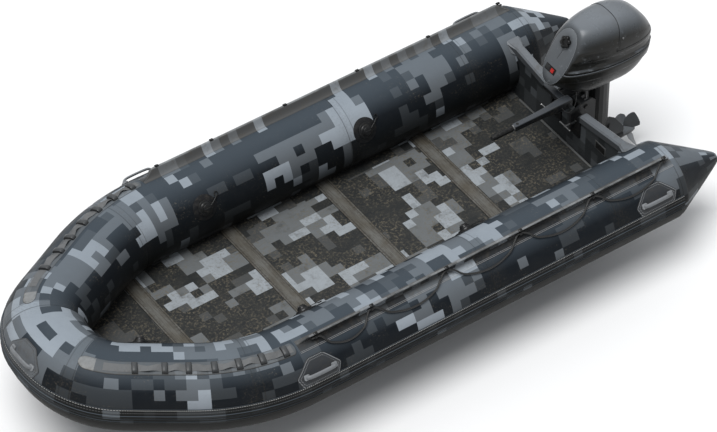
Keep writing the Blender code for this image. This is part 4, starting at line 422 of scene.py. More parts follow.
# fields are paler or darker places: along, across, reach along and across, amount. On the hull they lie by
# run and way round, in metres, and the way round is 0 outboard, 0.39 on top and 0.79 inboard
HULL_FIELDS = (
    # the second field here, a broad paler band along the port tube's top, is painted sheen
    (0.00, 0.30, 0.24, 0.50, 0.24), (-2.20, 0.41, 2.00, 0.10, 0.09), (-0.48, 0.12, 0.28, 0.16, -0.30),
    (-0.82, 0.12, 0.14, 0.22, 0.32), (-1.03, 0.12, 0.12, 0.14, 0.06), (-0.70, 0.44, 0.35, 0.07, 0.10),
    (-1.20, 0.46, 0.30, 0.10, 0.16), (-1.25, 0.20, 0.30, 0.12, 0.08), (-1.60, 0.17, 0.35, 0.14, -0.22),
    (-2.15, 0.40, 0.38, 0.08, -0.22), (-2.35, 0.20, 0.42, 0.12, 0.09), (-2.70, 0.43, 0.24, 0.10, 0.22),
    (-3.37, 0.42, 0.14, 0.07, 0.14), (-3.84, 0.38, 0.20, 0.08, -0.14), (-3.55, 0.12, 0.38, 0.16, -0.26),
    (-4.08, 0.26, 0.16, 0.12, 0.05), (-4.06, 0.44, 0.22, 0.10, -0.12), (-4.36, 0.40, 0.14, 0.20, 0.14),
    (0.50, 0.62, 0.17, 0.16, -0.28), (0.75, 0.44, 0.16, 0.13, 0.20), (0.92, 0.66, 0.16, 0.16, 0.08),
    (1.18, 0.50, 0.20, 0.10, 0.12), (1.00, 0.76, 0.60, 0.08, -0.12), (1.68, 0.60, 0.24, 0.22, -0.24),
    (2.05, 0.40, 0.45, 0.07, -0.20), (2.05, 0.63, 0.26, 0.10, 0.12), (2.66, 0.50, 0.22, 0.12, 0.22),
    (2.80, 0.68, 0.20, 0.08, -0.10), (3.06, 0.64, 0.26, 0.18, -0.26), (3.10, 0.43, 0.18, 0.06, -0.14),
    (3.34, 0.52, 0.055, 0.12, 0.22), (3.65, 0.60, 0.24, 0.20, -0.28), (3.92, 0.50, 0.12, 0.12, 0.16),
    # this broad darker band low on the starboard tube's inboard side is painted shade
    (2.50, 0.76, 2.10, 0.12, -0.07),
)
# on the floor they lie by x and y
FLOOR_FIELDS = (
    (-1.40, 0.20, 0.22, 0.60, -0.16), (-1.05, 0.02, 0.16, 0.16, -0.22), (-0.74, 0.22, 0.24, 0.26, 0.20),
    (-0.56, 0.56, 0.22, 0.14, -0.20), (-0.80, -0.14, 0.24, 0.14, -0.22), (-0.33, 0.12, 0.14, 0.14, -0.16),
    (-0.10, 0.36, 0.22, 0.16, 0.18), (-0.32, -0.06, 0.16, 0.10, 0.20), (0.00, -0.04, 0.14, 0.12, -0.22),
    (0.12, -0.34, 0.16, 0.18, 0.12), (0.34, 0.22, 0.17, 0.38, -0.26), (0.64, 0.36, 0.16, 0.14, 0.20),
    (0.66, 0.10, 0.12, 0.12, -0.22), (0.60, -0.18, 0.22, 0.16, 0.20), (1.24, 0.36, 0.22, 0.30, 0.08),
    # the first field here darkens the floor towards the transom, as painted shade
    (1.54, 0.00, 0.24, 0.55, -0.32), (1.05, -0.30, 0.20, 0.20, 0.10),
)


class Shade:
    """One node material, built up from a Principled shader."""

    def __init__(self, name, roughness, metallic=0.0, specular=0.5):
        material = bpy.data.materials.new(name)
        material.use_nodes = True
        paints[name] = material
        self.tree = material.node_tree
        self.shader = self.tree.nodes["Principled BSDF"]
        self.put(self.shader, {"Roughness": roughness, "Metallic": metallic, "Specular IOR Level": specular})

    def put(self, made, inputs):
        """Links or sets a node's inputs."""
        for key, value in inputs.items():
            if isinstance(value, bpy.types.NodeSocket):
                self.tree.links.new(value, made.inputs[key])
            elif value is not None:
                made.inputs[key].default_value = value

    def add(self, kind, inputs, output=0, **settings):
        made = self.tree.nodes.new("ShaderNode" + kind)
        for key, value in settings.items():
            setattr(made, key, value)
        self.put(made, inputs)
        return made.outputs[output]

    def maths(self, operation, a, b=None, c=None):
        return self.add("Math", {0: a, 1: b, 2: c}, operation=operation)

    def times(self, a, b):
        return self.maths("MULTIPLY", a, b)

    def line(self, value, slope, start):
        return self.maths("MULTIPLY_ADD", value, slope, start)

    def under(self, value, limit):
        return self.maths("LESS_THAN", value, limit)

    def apart(self, value, place):
        """How far a value lies from a place."""
        return self.maths("ABSOLUTE", self.maths("SUBTRACT", value, place))

    def vector(self, operation, a, b=None, output=0):
        return self.add("VectorMath", {0: a, 1: b}, output, operation=operation)

    def geometry(self, output="Position"):
        return self.add("NewGeometry", {}, output)

    def map(self, name):
        return self.add("UVMap", {}, uv_map=name)

    def axes(self, vector):
        return self.add("SeparateXYZ", {0: vector}, slice(3))

    def noise(self, place, scale, detail=2.0, roughness=0.5):
        inputs = {"Vector": place, "Scale": scale, "Detail": detail, "Roughness": roughness}
        return self.add("TexNoise", inputs, "Fac")

    def step(self, value, low, high):
        """0 at low, 1 at high, and even between."""
        return self.add("MapRange", {"Value": value, "From Min": low, "From Max": high}, clamp=True)

    def blots(self, place, scale, detail, roughness, low, high):
        return self.step(self.noise(place, scale, detail, roughness), low, high)

    def mix(self, share, a, b):
        """Colour b over colour a by a share."""
        a, b = (paint if isinstance(paint, bpy.types.NodeSocket) else (*paint, 1.0) for paint in (a, b))
        return self.add("Mix", {0: share, 6: a, 7: b}, 2, data_type="RGBA")

    def over(self, colour, mask, share, paint):
        """A paint over a colour where a mask lies, by a share at most."""
        return self.mix(self.times(mask, share), colour, paint)

    def dashed(self, line, along):
        stitches = self.maths("FRACT", self.times(along, 1.0 / STITCH))
        return self.times(line, self.under(stitches, STITCH_SHARE))

    def finish(self, colour, height, strength, distance, roughness=None):
        """Joins the colour, the relief and the sheen to the shader."""
        relief = self.add("Bump", {"Height": height, "Strength": strength, "Distance": distance})
        self.put(self.shader, {"Base Color": colour, "Roughness": roughness, "Normal": relief})


def camo(shade, place, tones, dirt, shift=0.0, fields=(), specks=TUBE_SPECKS):
    """Digital camouflage in square cells over a place in metres, with grime in its dark cells."""
    cell = shade.vector("SNAP", place, (CAMO_CELL, CAMO_CELL, CAMO_CELL))
    loose = shade.add("TexWhiteNoise", {"Vector": cell}, "Value", noise_dimensions="3D")
    lean = shade.line(loose, 0.17, -0.085)
    outboard = shade.step(shade.axes(cell)[1], 0.30, 0.20)
    broad = 0.0
    for along, across, reach, wide, amount in fields:
        offset = shade.vector("SUBTRACT", cell, (along, across, 0.0))
        scaled = shade.vector("DIVIDE", offset, (reach, wide, 1000.0))
        near = shade.step(shade.vector("LENGTH", scaled, output="Value"), 1.25, 0.45)
        broad = shade.line(near, amount, broad)
    masks = []
    for offset, scale, threshold, follow, low in CAMO_LAYERS:
        spot = shade.vector("ADD", cell, (offset + shift, offset * 1.7 + shift * 0.37, offset))
        value = shade.maths("ADD", shade.noise(spot, scale, 1.0), lean)
        if fields:
            value = shade.line(broad, follow, value)
        if fields is HULL_FIELDS:
            value = shade.line(outboard, -low, value)
        masks.append(shade.maths("GREATER_THAN", value, threshold))
    deep, slate, grey, pale = tones
    colour = shade.mix(masks[0], deep, grey)
    for mask, tone in zip(masks[1:], (slate, pale, deep)):
        colour = shade.mix(mask, colour, tone)
    scale, low, high, patch_scale, patch_low, patch_high, paint = specks
    grime = shade.noise(place, scale, 4.0, 0.7)
    patches = shade.blots(place, patch_scale, 3.0, 0.6, patch_low, patch_high)
    where = shade.times(shade.step(grime, low, high), patches)
    return shade.mix(shade.times(where, shade.line(masks[2], -0.5 * dirt, dirt)), colour, paint), grime


def hull_camo(shade, dirt):
    return camo(shade, shade.map("skin"), TUBE_TONES, dirt, HULL_SHIFT, HULL_FIELDS)


def painted_shade_and_sheen(shade, colour, least=0.10):
    """Painted shade darkens whatever faces sideways or down, and a thin bluish painted sheen lies on top."""
    height = shade.axes(shade.geometry("Normal"))[2]
    # painted sheen where the surface faces up
    colour = shade.over(colour, shade.step(height, 0.62, 1.0), 0.37, PAINTED_SHEEN)
    # painted shade where it faces sideways or down
    up = shade.step(height, -0.36, 0.88)
    return shade.mix(shade.line(up, least - 1, 1 - least), colour, (0.006, 0.006, 0.005))


def paint_hull():
    """Coated fabric in camouflage, with taped seams, grime along them, a fine scuffed sheen, and painted
    shade below with painted sheen on top.
    """
    shade = Shade("hull_fabric", 0.52, specular=0.06)
    place = shade.map("surface")
    colour, grime = camo(shade, place, TUBE_TONES, 0.75, HULL_SHIFT, HULL_FIELDS)
    along = shade.axes(place)[0]
    for run in (NOSE_SEAM_RUN, BOW_SEAM_RUN, MID_RUN, FABRIC_RUN, CONE_RUN):
        for side in SIDES.values():
            away = shade.apart(along, side * run)
            line = shade.step(shade.apart(away, SEAM_TAPE), 0.0045, 0.0012)
            colour = shade.over(colour, line, 0.45, (0.018, 0.018, 0.017))
            soiled = shade.times(shade.step(away, 0.10, 0.02), shade.step(grime, 0.44, 0.62))
            colour = shade.over(colour, soiled, 0.20, BROWN)
    film = shade.blots(place, 11.0, 5.0, 0.7, 0.40, 0.75)
    colour = shade.over(colour, film, 0.10, (0.050, 0.052, 0.052))
    folds = shade.maths("ADD", shade.noise(place, 5.0), shade.times(grime, 0.05))
    # painted shade below and painted sheen on top
    shade.finish(painted_shade_and_sheen(shade, colour), folds, 0.5, 0.006, shade.line(film, 0.22, 0.38))


# colour, roughness, scale and share of the grime, then for some: a lighter colour painted on top as painted
# light, between which slopes it blends in, how metallic it is and the grime's colour
LIT_SLOPES = (-0.05, 0.95)
PLAIN_FINISHES = {
    "grip_rubber": ((0.110, 0.118, 0.125), 0.45, 40.0, 0.3, (0.185, 0.194, 0.205)),
    "foot_rubber": ((0.20, 0.21, 0.22), 0.55, 50.0, 0.3),
    "keeper_rubber": ((0.014, 0.015, 0.016), 0.40, 60.0, 0.25, (0.060, 0.064, 0.067), (0.3, 1.0)),
    "webbing": ((0.050, 0.052, 0.053), 0.7, 70.0, 0.3, (0.135, 0.139, 0.142), (0.25, 1.0)),
    "valve_black": ((0.010, 0.0105, 0.011), 0.35, 60.0, 0.35),
    "boot_black": ((0.0060, 0.0065, 0.0075), 0.5, 40.0, 0.30),
    "cap_grey": ((0.060, 0.065, 0.070), 0.45, 26.0, 0.4, (0.140, 0.153, 0.167)),
    "bottom_fabric": ((0.022, 0.024, 0.026), 0.7, 30.0, 0.5),
    "cowl_satin": ((0.0055, 0.0055, 0.0042), 0.30, 14.0, 0.12, (0.150, 0.165, 0.181), (0.34, 1.0)),
    "cowl_plate": ((0.030, 0.033, 0.036), 0.40, 14.0, 0.12, (0.170, 0.184, 0.198), (0.10, 0.98)),
    "cowl_dark": ((0.020, 0.021, 0.022), 0.4, 18.0, 0.2),
    # a pale rim colour that stands for the rim's painted highlight, broken up by dark patches
    "worn_edge": ((0.24, 0.255, 0.27), 0.5, 55.0, 1.0, None, LIT_SLOPES, 0.0, (0.03, 0.03, 0.03)),
    "bracket_black": ((0.0085, 0.009, 0.010), 0.34, 50.0, 0.25, (0.022, 0.024, 0.026)),
    "leg_black": ((0.0060, 0.0066, 0.0072), 0.42, 40.0, 0.18, (0.022, 0.024, 0.026), (0.3, 1.0)),
    "arm_grey": ((0.0100, 0.0108, 0.0118), 0.38, 50.0, 0.25, (0.052, 0.058, 0.066), (0.35, 1.0)),
    "steel_bright": ((0.30, 0.30, 0.30), 0.35, 80.0, 0.3, None, LIT_SLOPES, 1.0),
    "prop_grey": ((0.060, 0.064, 0.068), 0.4, 50.0, 0.3, (0.20, 0.215, 0.23)),
    "engine_grey": ((0.16, 0.16, 0.165), 0.5, 30.0, 0.5, None, LIT_SLOPES, 0.4),
    "knob_black": ((0.007, 0.007, 0.007), 0.35, 90.0, 0.15),
    "button_red": ((0.42, 0.018, 0.015), 0.35, 90.0, 0.15),
    "strip_grey": ((0.085, 0.088, 0.088), 0.45, 60.0, 0.5),
}


def paint_plain(name, colour, roughness, scale, share, lit_top=None, fade=LIT_SLOPES, metallic=0.0, dirt=BROWN):
    """A plain finish with grime in patches, lighter scuffs and a slightly uneven sheen. Some are painted
    lighter on top, as painted light.
    """
    shade = Shade(name, roughness, metallic, 0.3)
    place = shade.geometry()
    grime = shade.noise(place, scale, 5.0, 0.62)
    patches = shade.blots(place, scale * 0.16, 3.0, 0.5, 0.40, 0.64)
    lighter = [min(1.0, value * 1.7 + 0.01) for value in lit_top or colour]
    # painted light: surfaces that face up take the lighter colour
    if lit_top:
        colour = shade.mix(shade.step(shade.axes(shade.geometry("Normal"))[2], *fade), colour, lit_top)
    colour = shade.over(colour, shade.times(shade.step(grime, 0.48, 0.66), patches), share, dirt)
    colour = shade.over(colour, shade.blots(place, scale * 2.3, 6.0, 0.7, 0.60, 0.74), 0.35, lighter)
    shade.finish(colour, grime, 0.25, 0.0012, shade.line(grime, 0.3, roughness - 0.15))


# colour, share of the grime, and lines as (distance from the edge, half width, colour, dashed)
TRIMMED_FINISHES = {
    "handle_rubber": (
        (0.026, 0.029, 0.033),
        0.2,
        (
            (0.0, 0.003, (0.010, 0.010, 0.010), False),
            (0.006, 0.0026, (0.20, 0.21, 0.215), True),
            (0.018, 0.0024, (0.15, 0.155, 0.16), True),
        ),
    ),
    "bow_handle_rubber": (
        (0.090, 0.098, 0.106),
        0.35,
        (
            (0.0, 0.004, (0.018, 0.018, 0.018), False),
            (0.007, 0.0020, (0.030, 0.031, 0.032), True),
            (0.018, 0.0018, (0.030, 0.031, 0.032), True),
        ),
    ),
}
STRAKE_LINES = (
    (0.0008, 0.0018, (0.012, 0.012, 0.012), False),
    (0.0075, 0.0020, (0.62, 0.62, 0.60), True),
    (0.0130, 0.0012, (0.010, 0.010, 0.010), False),
    (0.0260, 0.0014, (0.20, 0.20, 0.20), True),
    (0.0340, 0.0012, (0.010, 0.010, 0.010), False),
)


def paint_trimmed(name, colour, share, lines):
    """Rubber whose map holds the distance from its edge, with soft-edged and stitched lines."""
    shade = Shade(name, 0.6, specular=0.35)
    grime = shade.noise(shade.geometry(), 34.0, 5.0, 0.62)
    colour = shade.over(colour, shade.step(grime, 0.46, 0.68), share, BROWN)
    edge, along, _ = shade.axes(shade.map("surface"))
    for distance, half, paint, dashed in lines:
        line = shade.step(shade.apart(edge, distance), half, half * 0.6)
        colour = shade.mix(shade.dashed(line, along) if dashed else line, colour, paint)
    shade.finish(colour, grime, 0.2, 0.001, shade.line(grime, 0.25, 0.48))


def paint_strake():
    """The hull's camouflage, dulled, with pale stitching above, painted shade over the ribs and below them,
    and painted sheen on top.
    """
    shade = Shade("strake_band", 0.55, specular=0.12)
    colour, grime = hull_camo(shade, 0.7)
    colour = shade.mix(0.30, colour, (0.016, 0.017, 0.016))
    edge, along, _ = shade.axes(shade.map("surface"))
    # painted shade: darker over the ribs, and darkest on the wale below them
    below = shade.step(edge, 0.045, 0.075)
    colour = shade.mix(shade.line(below, 0.50, 0.38), colour, (0.007, 0.007, 0.006))
    for distance, half, paint, dashed in STRAKE_LINES:
        line = shade.under(shade.apart(edge, distance), half)
        colour = shade.mix(shade.dashed(line, along) if dashed else line, colour, paint)
    # painted shade below and painted sheen on top
    shade.finish(painted_shade_and_sheen(shade, colour, 0.12), grime, 0.3, 0.001)


def paint_patches():
    """Dusty fabric with the camouflage faint in it, a pale tab at the nose, dark edges, painted shade below
    and painted sheen on top.
    """
    shade = Shade("patch_rubber", 0.6, specular=0.3)
    colour, grime = hull_camo(shade, 0.4)
    colour = shade.mix(0.62, colour, (0.112, 0.114, 0.113))
    run = shade.axes(shade.map("skin"))[0]
    tab = shade.under(shade.apart(run, 0.0), PATCH_RUNS[0] + PATCH_TAB)
    colour = shade.over(colour, tab, 0.85, (0.290, 0.285, 0.270))
    edge = shade.axes(shade.map("surface"))[0]
    dirty = shade.blots(shade.geometry(), 34.0, 5.0, 0.65, 0.42, 0.66)
    colour = shade.over(colour, dirty, shade.line(shade.step(edge, 0.022, 0.002), 0.5, 0.25), BROWN)
    colour = shade.over(colour, shade.step(edge, 0.0045, 0.0025), 0.8, (0.030, 0.029, 0.027))
    # painted shade below and painted sheen on top
    shade.finish(painted_shade_and_sheen(shade, colour), grime, 0.2, 0.001)


def paint_rails():
    """The camouflage, dusty inside the rail's lip and in painted shade outside, with two pale lines by its
    edge and a painted highlight on top.
    """
    shade = Shade("rail_rubber", 0.5, specular=0.35)
    place = shade.geometry()
    colour, grime = hull_camo(shade, 0.4)
    height = shade.axes(shade.map("surface"))[0]
    around = shade.axes(shade.map("skin"))[1]
    foot, lip = (radians(angle) * TUBE_RADIUS for angle in (RAIL_FOOT_ANGLE, RAIL_LIP_ANGLE))
    middle = shade.line(height, (lip - foot) / RAIL_HEIGHT, foot)
    inside = shade.step(shade.maths("SUBTRACT", around, middle), -0.001, 0.001)
    # painted shade on the outer flank, under the lip
    outer = shade.over(colour, shade.step(around, foot - 0.060, foot - 0.018), 0.62, (0.013, 0.013, 0.012))
    colour = shade.mix(inside, outer, shade.mix(0.55, colour, (0.105, 0.104, 0.100)))
    for angle, half in ((60.8, 0.0012), (62.6, 0.0010)):
        line = shade.under(shade.apart(around, radians(angle) * TUBE_RADIUS), half)
        colour = shade.mix(line, colour, (0.235, 0.240, 0.245))
    # a patchy paler line along the lip's top, as painted highlight
    top = shade.times(shade.step(height, 0.052, 0.057), shade.blots(place, 9.0, 4.0, 0.6, 0.25, 0.65))
    colour = shade.over(colour, top, 0.75, (0.27, 0.28, 0.285))
    dirty = shade.blots(place, 30.0, 5.0, 0.62, 0.5, 0.68)
    shade.finish(shade.over(colour, dirty, 0.35, BROWN), grime, 0.2, 0.001)


def paint_braid(name, colour, turns):
    """A braided sheath over a map of (length, way round) in metres and turns."""
    shade = Shade(name, 0.38)
    along, around, _ = shade.axes(shade.map("surface"))
    along, around = shade.times(along, turns), shade.times(around, BRAID_TURNS)
    ups, downs = (shade.maths("SINE", shade.maths(way, along, around)) for way in ("ADD", "SUBTRACT"))
    weave = shade.times(ups, downs)
    # the weave's low places are painted darker, as painted shade between the strands
    dark = [value * 0.45 for value in colour]
    shade.finish(shade.mix(shade.step(weave, -0.5, 0.6), dark, colour), weave, 0.4, 0.0006)


def paint_floor():
    """Painted boards: the camouflage, heavy brown grime in its dark cells, and scuffs."""
    shade = Shade("floor_boards", 0.62, specular=0.3)
    place = shade.geometry()
    colour, grime = camo(shade, place, FLOOR_TONES, 0.85, 2.6, FLOOR_FIELDS, FLOOR_SPECKS)
    colour = shade.over(colour, shade.blots(place, 13.0, 6.0, 0.75, 0.42, 0.64), 0.20, (0.070, 0.066, 0.054))
    colour = shade.over(colour, shade.blots(place, 75.0, 6.0, 0.75, 0.54, 0.68), 0.15, (0.170, 0.168, 0.155))
    colour = shade.over(colour, shade.blots(place, 9.0, 5.0, 0.65, 0.54, 0.72), 0.55, (0.016, 0.017, 0.016))
    shade.finish(colour, grime, 0.3, 0.0015)


def paint_joiners():
    """Cross rails over the boards' joints: dull soiled metal, with painted shade in two dark lines by each
    edge.
    """
    shade = Shade("joiner_metal", 0.55, specular=0.35)
    place = shade.geometry()
    x = shade.axes(place)[0]
    nearest = 1.0
    for name in JOINERS:
        low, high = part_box(f"floor_joiner_{name}")
        half = (high[0] - low[0]) / 2
        nearest = shade.maths("MINIMUM", shade.apart(x, (low[0] + high[0]) / 2), nearest)
    grime = shade.noise(place, 60.0, 5.0, 0.7)
    patches = shade.blots(place, 7.0, 3.0, 0.5, 0.35, 0.62)
    colour = shade.mix(patches, (0.080, 0.072, 0.056), (0.118, 0.117, 0.108))
    soiled = shade.times(shade.step(grime, 0.42, 0.60), shade.step(nearest, half * 0.1, half * 0.75))
    colour = shade.over(colour, soiled, 0.75, (0.044, 0.037, 0.026))
    stretched = shade.vector("MULTIPLY", place, (1.0, 0.06, 1.0))
    streaks = shade.blots(stretched, 130.0, 4.0, 0.7, 0.48, 0.64)
    colour = shade.over(colour, streaks, 0.60, (0.034, 0.029, 0.021))
    # painted shade: a dark line for a groove's shade, and a darker one along each edge for its shadow
    for share, paint in ((0.70, (0.022, 0.021, 0.019)), (0.99, (0.010, 0.010, 0.009))):
        colour = shade.mix(shade.under(shade.apart(nearest, half * share), 0.0016), colour, paint)
    shade.finish(colour, grime, 0.3, 0.001)


def paint_transom():
    shade = Shade("transom_board_paint", 0.5, specular=0.35)
    inputs = {"Vector": shade.geometry(), "Angle": pi / 2}
    turned = shade.add("VectorRotate", inputs, rotation_type="Y_AXIS")
    colour, grime = camo(shade, turned, FLOOR_TONES, 0.6, 6.2)
    shade.finish(shade.mix(0.80, colour, (0.024, 0.027, 0.029)), grime, 0.3, 0.001)


def make_paints():
    paint_hull()
    paint_strake()
    paint_patches()
    paint_rails()
    paint_floor()
    paint_joiners()
    paint_transom()
    paint_braid("rope_black", (0.022, 0.022, 0.021), 700.0)
    paint_braid("cable_black", (0.008, 0.008, 0.008), 1500.0)
    for name, values in PLAIN_FINISHES.items():
        paint_plain(name, *values)
    for name, values in TRIMMED_FINISHES.items():
        paint_trimmed(name, *values)


# Lifelines and stop cable


def lifeline_route(side):
    """The rope's points: through each eye, with a hanging bight against the tube between each pair."""
    points = []
    for start, end in zip(EYE_XS, EYE_XS[1:]):
        span = end - start
        for share in ROPE_STEP_SHARES:
            past_eye = max(min(share, 1 - share) * span - EYE_LENGTH * ROPE_LEAD_SHARE, 0.0)
            ease = past_eye / span / ROPE_EASE_SHARE
            drop = 4 * share * (1 - share) * min(1.0, ease * ease / 2 + ease / 2)
            angle = EYE_ANGLE + (ROPE_SAG_ANGLE - EYE_ANGLE) * drop
            held = (1 - drop) ** 1.6
            height = EYE_RISE * held + ROPE_LIFT * (1 - held)
            points.append(on_tube(side * run_at(start + span * share), angle, height))
    points.append(on_tube(side * run_at(EYE_XS[-1]), EYE_ANGLE, EYE_RISE))
    return rounded_route([points[0] - X * ROPE_TAIL, *points, points[-1] + X * ROPE_TAIL])


def make_cord(route, diameter, stiffness, material, *node):
    """A cord that leaves the object at the route's start and goes back into it at the end."""
    bm = bmesh.new()
    length = pipe(bm, route, diameter / 2, 14)
    cord = piece(bm, material, "rope", *node)
    tuple(route[0])


def make_cords():
    for name, side in SIDES.items():
        make_cord(lifeline_route(side), ROPE_DIAMETER, "medium", "rope_black", f"lifeline_{name}", "rope")
    foot = cowl_frame(0)[0]
    route = rounded_route([foot + Vector(point) for point in CABLE_ROUTE], 6)
    make_cord(route, CABLE_DIAMETER, "stiff", "cable_black", "stop_cable", "sheath", "motor")


# Tubes


def make_chamber(name, start, end, seams):
    """A chamber, pinched at its own ends and raised where a seam is taped."""
    seams = (start, end, *seams)
    taped = [seam + side * offset for seam in seams for offset in SEAM_OFFSETS for side in SIDES.values()]
    inside = [run for run in taped if start < run < end]
    runs = sorted({round(run, 4) for run in spread(start, end, STEP) + inside})
    rows = []
    for run in runs:
        height = SEAM_RAISE if min(abs(run - seam) for seam in seams) < SEAM_TAPE else 0.0
        for closed_end in (start, end):
            height -= SEAM_PINCH * max(1 - abs(run - closed_end) / SEAM_PINCH_REACH, 0.0) ** 2
        rows.append([on_tube(run, 360.0 * i / AROUND, height) for i in range(AROUND)])
    bm = bmesh.new()
    grid(bm, rows, lambda i, j: (runs[i], 2 * pi * TUBE_RADIUS * j / AROUND), True)
    piece(bm, "hull_fabric", "tube_fabric", name, "skin")


def make_cone(name, side):
    shares = [0.0, 0.02, 0.05, *(i / 16 for i in range(2, 15)), *CONE_TIP]
    rows = []
    for share in shares:
        x = CONE_SEAM_X + CONE_LENGTH * share
        middle = Vector((x, side * TUBE_OFFSET, TUBE_HEIGHT - CONE_DROP * share))
        radius = TUBE_RADIUS * from_table(CONE_SHARES, share) * CONE_TIP.get(share, 1.0)
        if share == 0.0:
            radius -= SEAM_PINCH
        rows.append([middle + radius * (side * cos(a) * Y + sin(a) * Z) for a in ring(AROUND)])
    bm = bmesh.new()

    def surface(i, j):
        return side * (CONE_RUN + CONE_LENGTH * shares[i]), 2 * pi * TUBE_RADIUS * j / AROUND

    grid(bm, rows, surface, True, (False, True))
    piece(bm, "hull_fabric", "tube_fabric", f"cone_{name}", "skin")


def make_tubes():
    make_chamber("tube_bow", -BOW_SEAM_RUN, BOW_SEAM_RUN, (-NOSE_SEAM_RUN, NOSE_SEAM_RUN))
    for name, side in SIDES.items():
        make_chamber(f"tube_{name}_forward", *sorted((side * BOW_SEAM_RUN, side * MID_RUN)), ())
        make_chamber(f"tube_{name}_aft", *sorted((side * MID_RUN, side * CONE_RUN)), (side * FABRIC_RUN,))
        make_cone(name, side)


# Rope rails

RAIL_FLANK_SHARES = (0.0, 0.15, 0.4, 0.7, 0.88)


def rail_outline(rise):
    """The rail's section: two feet, and a lip that leans outboard and stands up by a share."""
    lip = RAIL_BASE + (RAIL_HEIGHT - RAIL_BASE) * rise
    lean = (RAIL_LIP_ANGLE - RAIL_FOOT_ANGLE) * rise

    def wide(height):
        return degrees(RAIL_THICKNESS / 2 / (TUBE_RADIUS + height))

    def flank(sign):
        for share in RAIL_FLANK_SHARES[::-sign]:
            at = RAIL_BASE + (lip - RAIL_BASE) * share
            flare = 1.0 + 1.6 * (1 - share) ** 6
            yield RAIL_FOOT_ANGLE + lean * share + sign * wide(at) * flare, at, at

    crown = []
    for turn in (150, 115, 90, 65, 30):
        at = lip - RAIL_THICKNESS * 0.45 * (1 - sin(radians(turn))) * rise
        crown.append((RAIL_FOOT_ANGLE + lean + wide(at) * cos(radians(turn)), at, at))
    foot = ((RAIL_LOW_ANGLE, 0.0006, 0.0), (RAIL_LOW_ANGLE + 0.3, RAIL_BASE * 0.8, 0.0))
    return mirrored(foot, (RAIL_LOW_ANGLE + RAIL_HIGH_ANGLE) / 2, [*flank(-1), *crown, *flank(1)])


def make_rails():
    """The rope rails with their upright lip, and an eye at each place where the lifeline passes through."""
    front, rear = run_at(RAIL_FRONT_X), run_at(RAIL_REAR_X)

    def profile(run):
        inside = min(abs(run) - front, rear - abs(run)) / RAIL_TAPER
        return rail_outline(0.02 + 0.98 * smooth_step(inside))

    for name, side in SIDES.items():
        bm = bmesh.new()
        stops = (front, front + RAIL_TAPER, rear - RAIL_TAPER, rear)
        strip(bm, stretches(side, stops, (0.01, 0.15, 0.01)), profile)
        for x in EYE_XS:
            eye(bm, side * run_at(x))
        piece(bm, "rail_rubber valve_black", "trim_rubber", f"rope_rail_{name}", "moulding")


def eye(bm, run):
    """A moulded loop round the rope, a web that joins it to the lip, and a buckle over the lip."""
    centre = on_tube(run, EYE_ANGLE, EYE_RISE)
    half = EYE_LENGTH / 2
    wall = EYE_OUTER - EYE_INNER
    end = ((-half, EYE_INNER), (-half, EYE_INNER + wall * 0.6), (-half + wall * 0.35, EYE_OUTER))
    lathe(bm, centre, X, mirrored(end), 20, 1, False)
    toward = on_tube(run, RAIL_LIP_ANGLE + 0.9, EYE_RISE) - centre
    long, high, share = EYE_WEB
    block(bm, centre + toward * 0.86, X, toward, (long, high, toward.length * share), TRIM_CORNER, 1)
    top = on_tube(run, RAIL_LIP_ANGLE, RAIL_HEIGHT - 0.001)
    block(bm, top, X, out_of_tube(run, RAIL_LIP_ANGLE), BUCKLE_SIZE, TRIM_CORNER, 1)


# Rubbing strake

STRAKE_REAR_X = 1.80
# angle, height, distance from the upper edge
STRAKE_TOP = ((16.0, 0.0008, 0.0), (15.7, 0.0034, 0.001), (9.0, 0.0036, 0.030), (6.6, 0.0040, 0.040))
STRAKE_WALE = ((-9.5, 0.0040, 0.09), (-14.0, 0.0050, 0.11), (-24.0, 0.0046, 0.13), (-31.0, 0.0040, 0.14))
STRAKE_END = ((-36.6, 0.0034, 0.149), (-37.0, 0.0008, 0.15))
# angle, height and half width in degrees
STRAKE_RIBS = ((3.6, 0.0115, 2.2), (-1.2, 0.0095, 1.8), (-5.6, 0.0115, 1.8))


def make_strake():
    """The rubber round the outside: a stitched band above, fine ribs, and a heavy wale below, dark with
    painted shade.
    """
    ribs = []
    for middle, rise, wide in STRAKE_RIBS:
        for turn in (180, 140, 90, 40, 0):
            a = radians(turn)
            ribs.append((middle - wide * cos(a), 0.004 + (rise - 0.004) * sin(a), 0.06))
    ribs.sort(key=lambda point: -point[0])
    outline = [*STRAKE_TOP, *ribs, *STRAKE_WALE, *STRAKE_END]
    reach = run_at(STRAKE_REAR_X)
    bm = bmesh.new()
    strip(bm, spread(-reach, reach, 0.04), lambda run: outline)
    piece(bm, "strake_band", "trim_rubber", "rubbing_strake", "band")


# Bow patches with their straps

PATCH_RUNS = (0.235, 1.42)
PATCH_ANGLES = (62.0, 81.0)
PATCH_TAB = 0.085
PATCH_MIDDLE = sum(PATCH_ANGLES) / 2
KEEPER_RUNS = (0.52, 0.69, 0.825, 0.965, 1.096, 1.226, 1.358)
# angle and height, and place along with its share of that height
KEEPER_HALF = ((63.4, 0.0035), (64.0, 0.0140), (65.4, 0.0215), (67.6, 0.0245))
KEEPER_END = ((-0.0175, 0.45), (-0.0160, 0.80), (-0.0110, 1.0))


def patch_outline(run):
    low, high = PATCH_ANGLES
    start, end = PATCH_RUNS
    nose = min((abs(run) - start) / 0.045, (end - abs(run)) / 0.02, 1.0)
    half = (high - low) / 2 * sqrt(max(1 - (1 - max(nose, 0.0)) ** 2, 0.0004))
    outline = []
    for share in (-1.0, -0.97, -0.8, -0.4, 0.0, 0.4, 0.8, 0.97, 1.0):
        edge = radians(half) * TUBE_RADIUS * (1 - abs(share))
        edge = min(edge, (abs(run) - start) * 0.9 + 0.001, end - abs(run) + 0.001)
        outline.append((PATCH_MIDDLE + half * share, 0.0034 - 0.0024 * abs(share) ** 14, edge))
    return outline


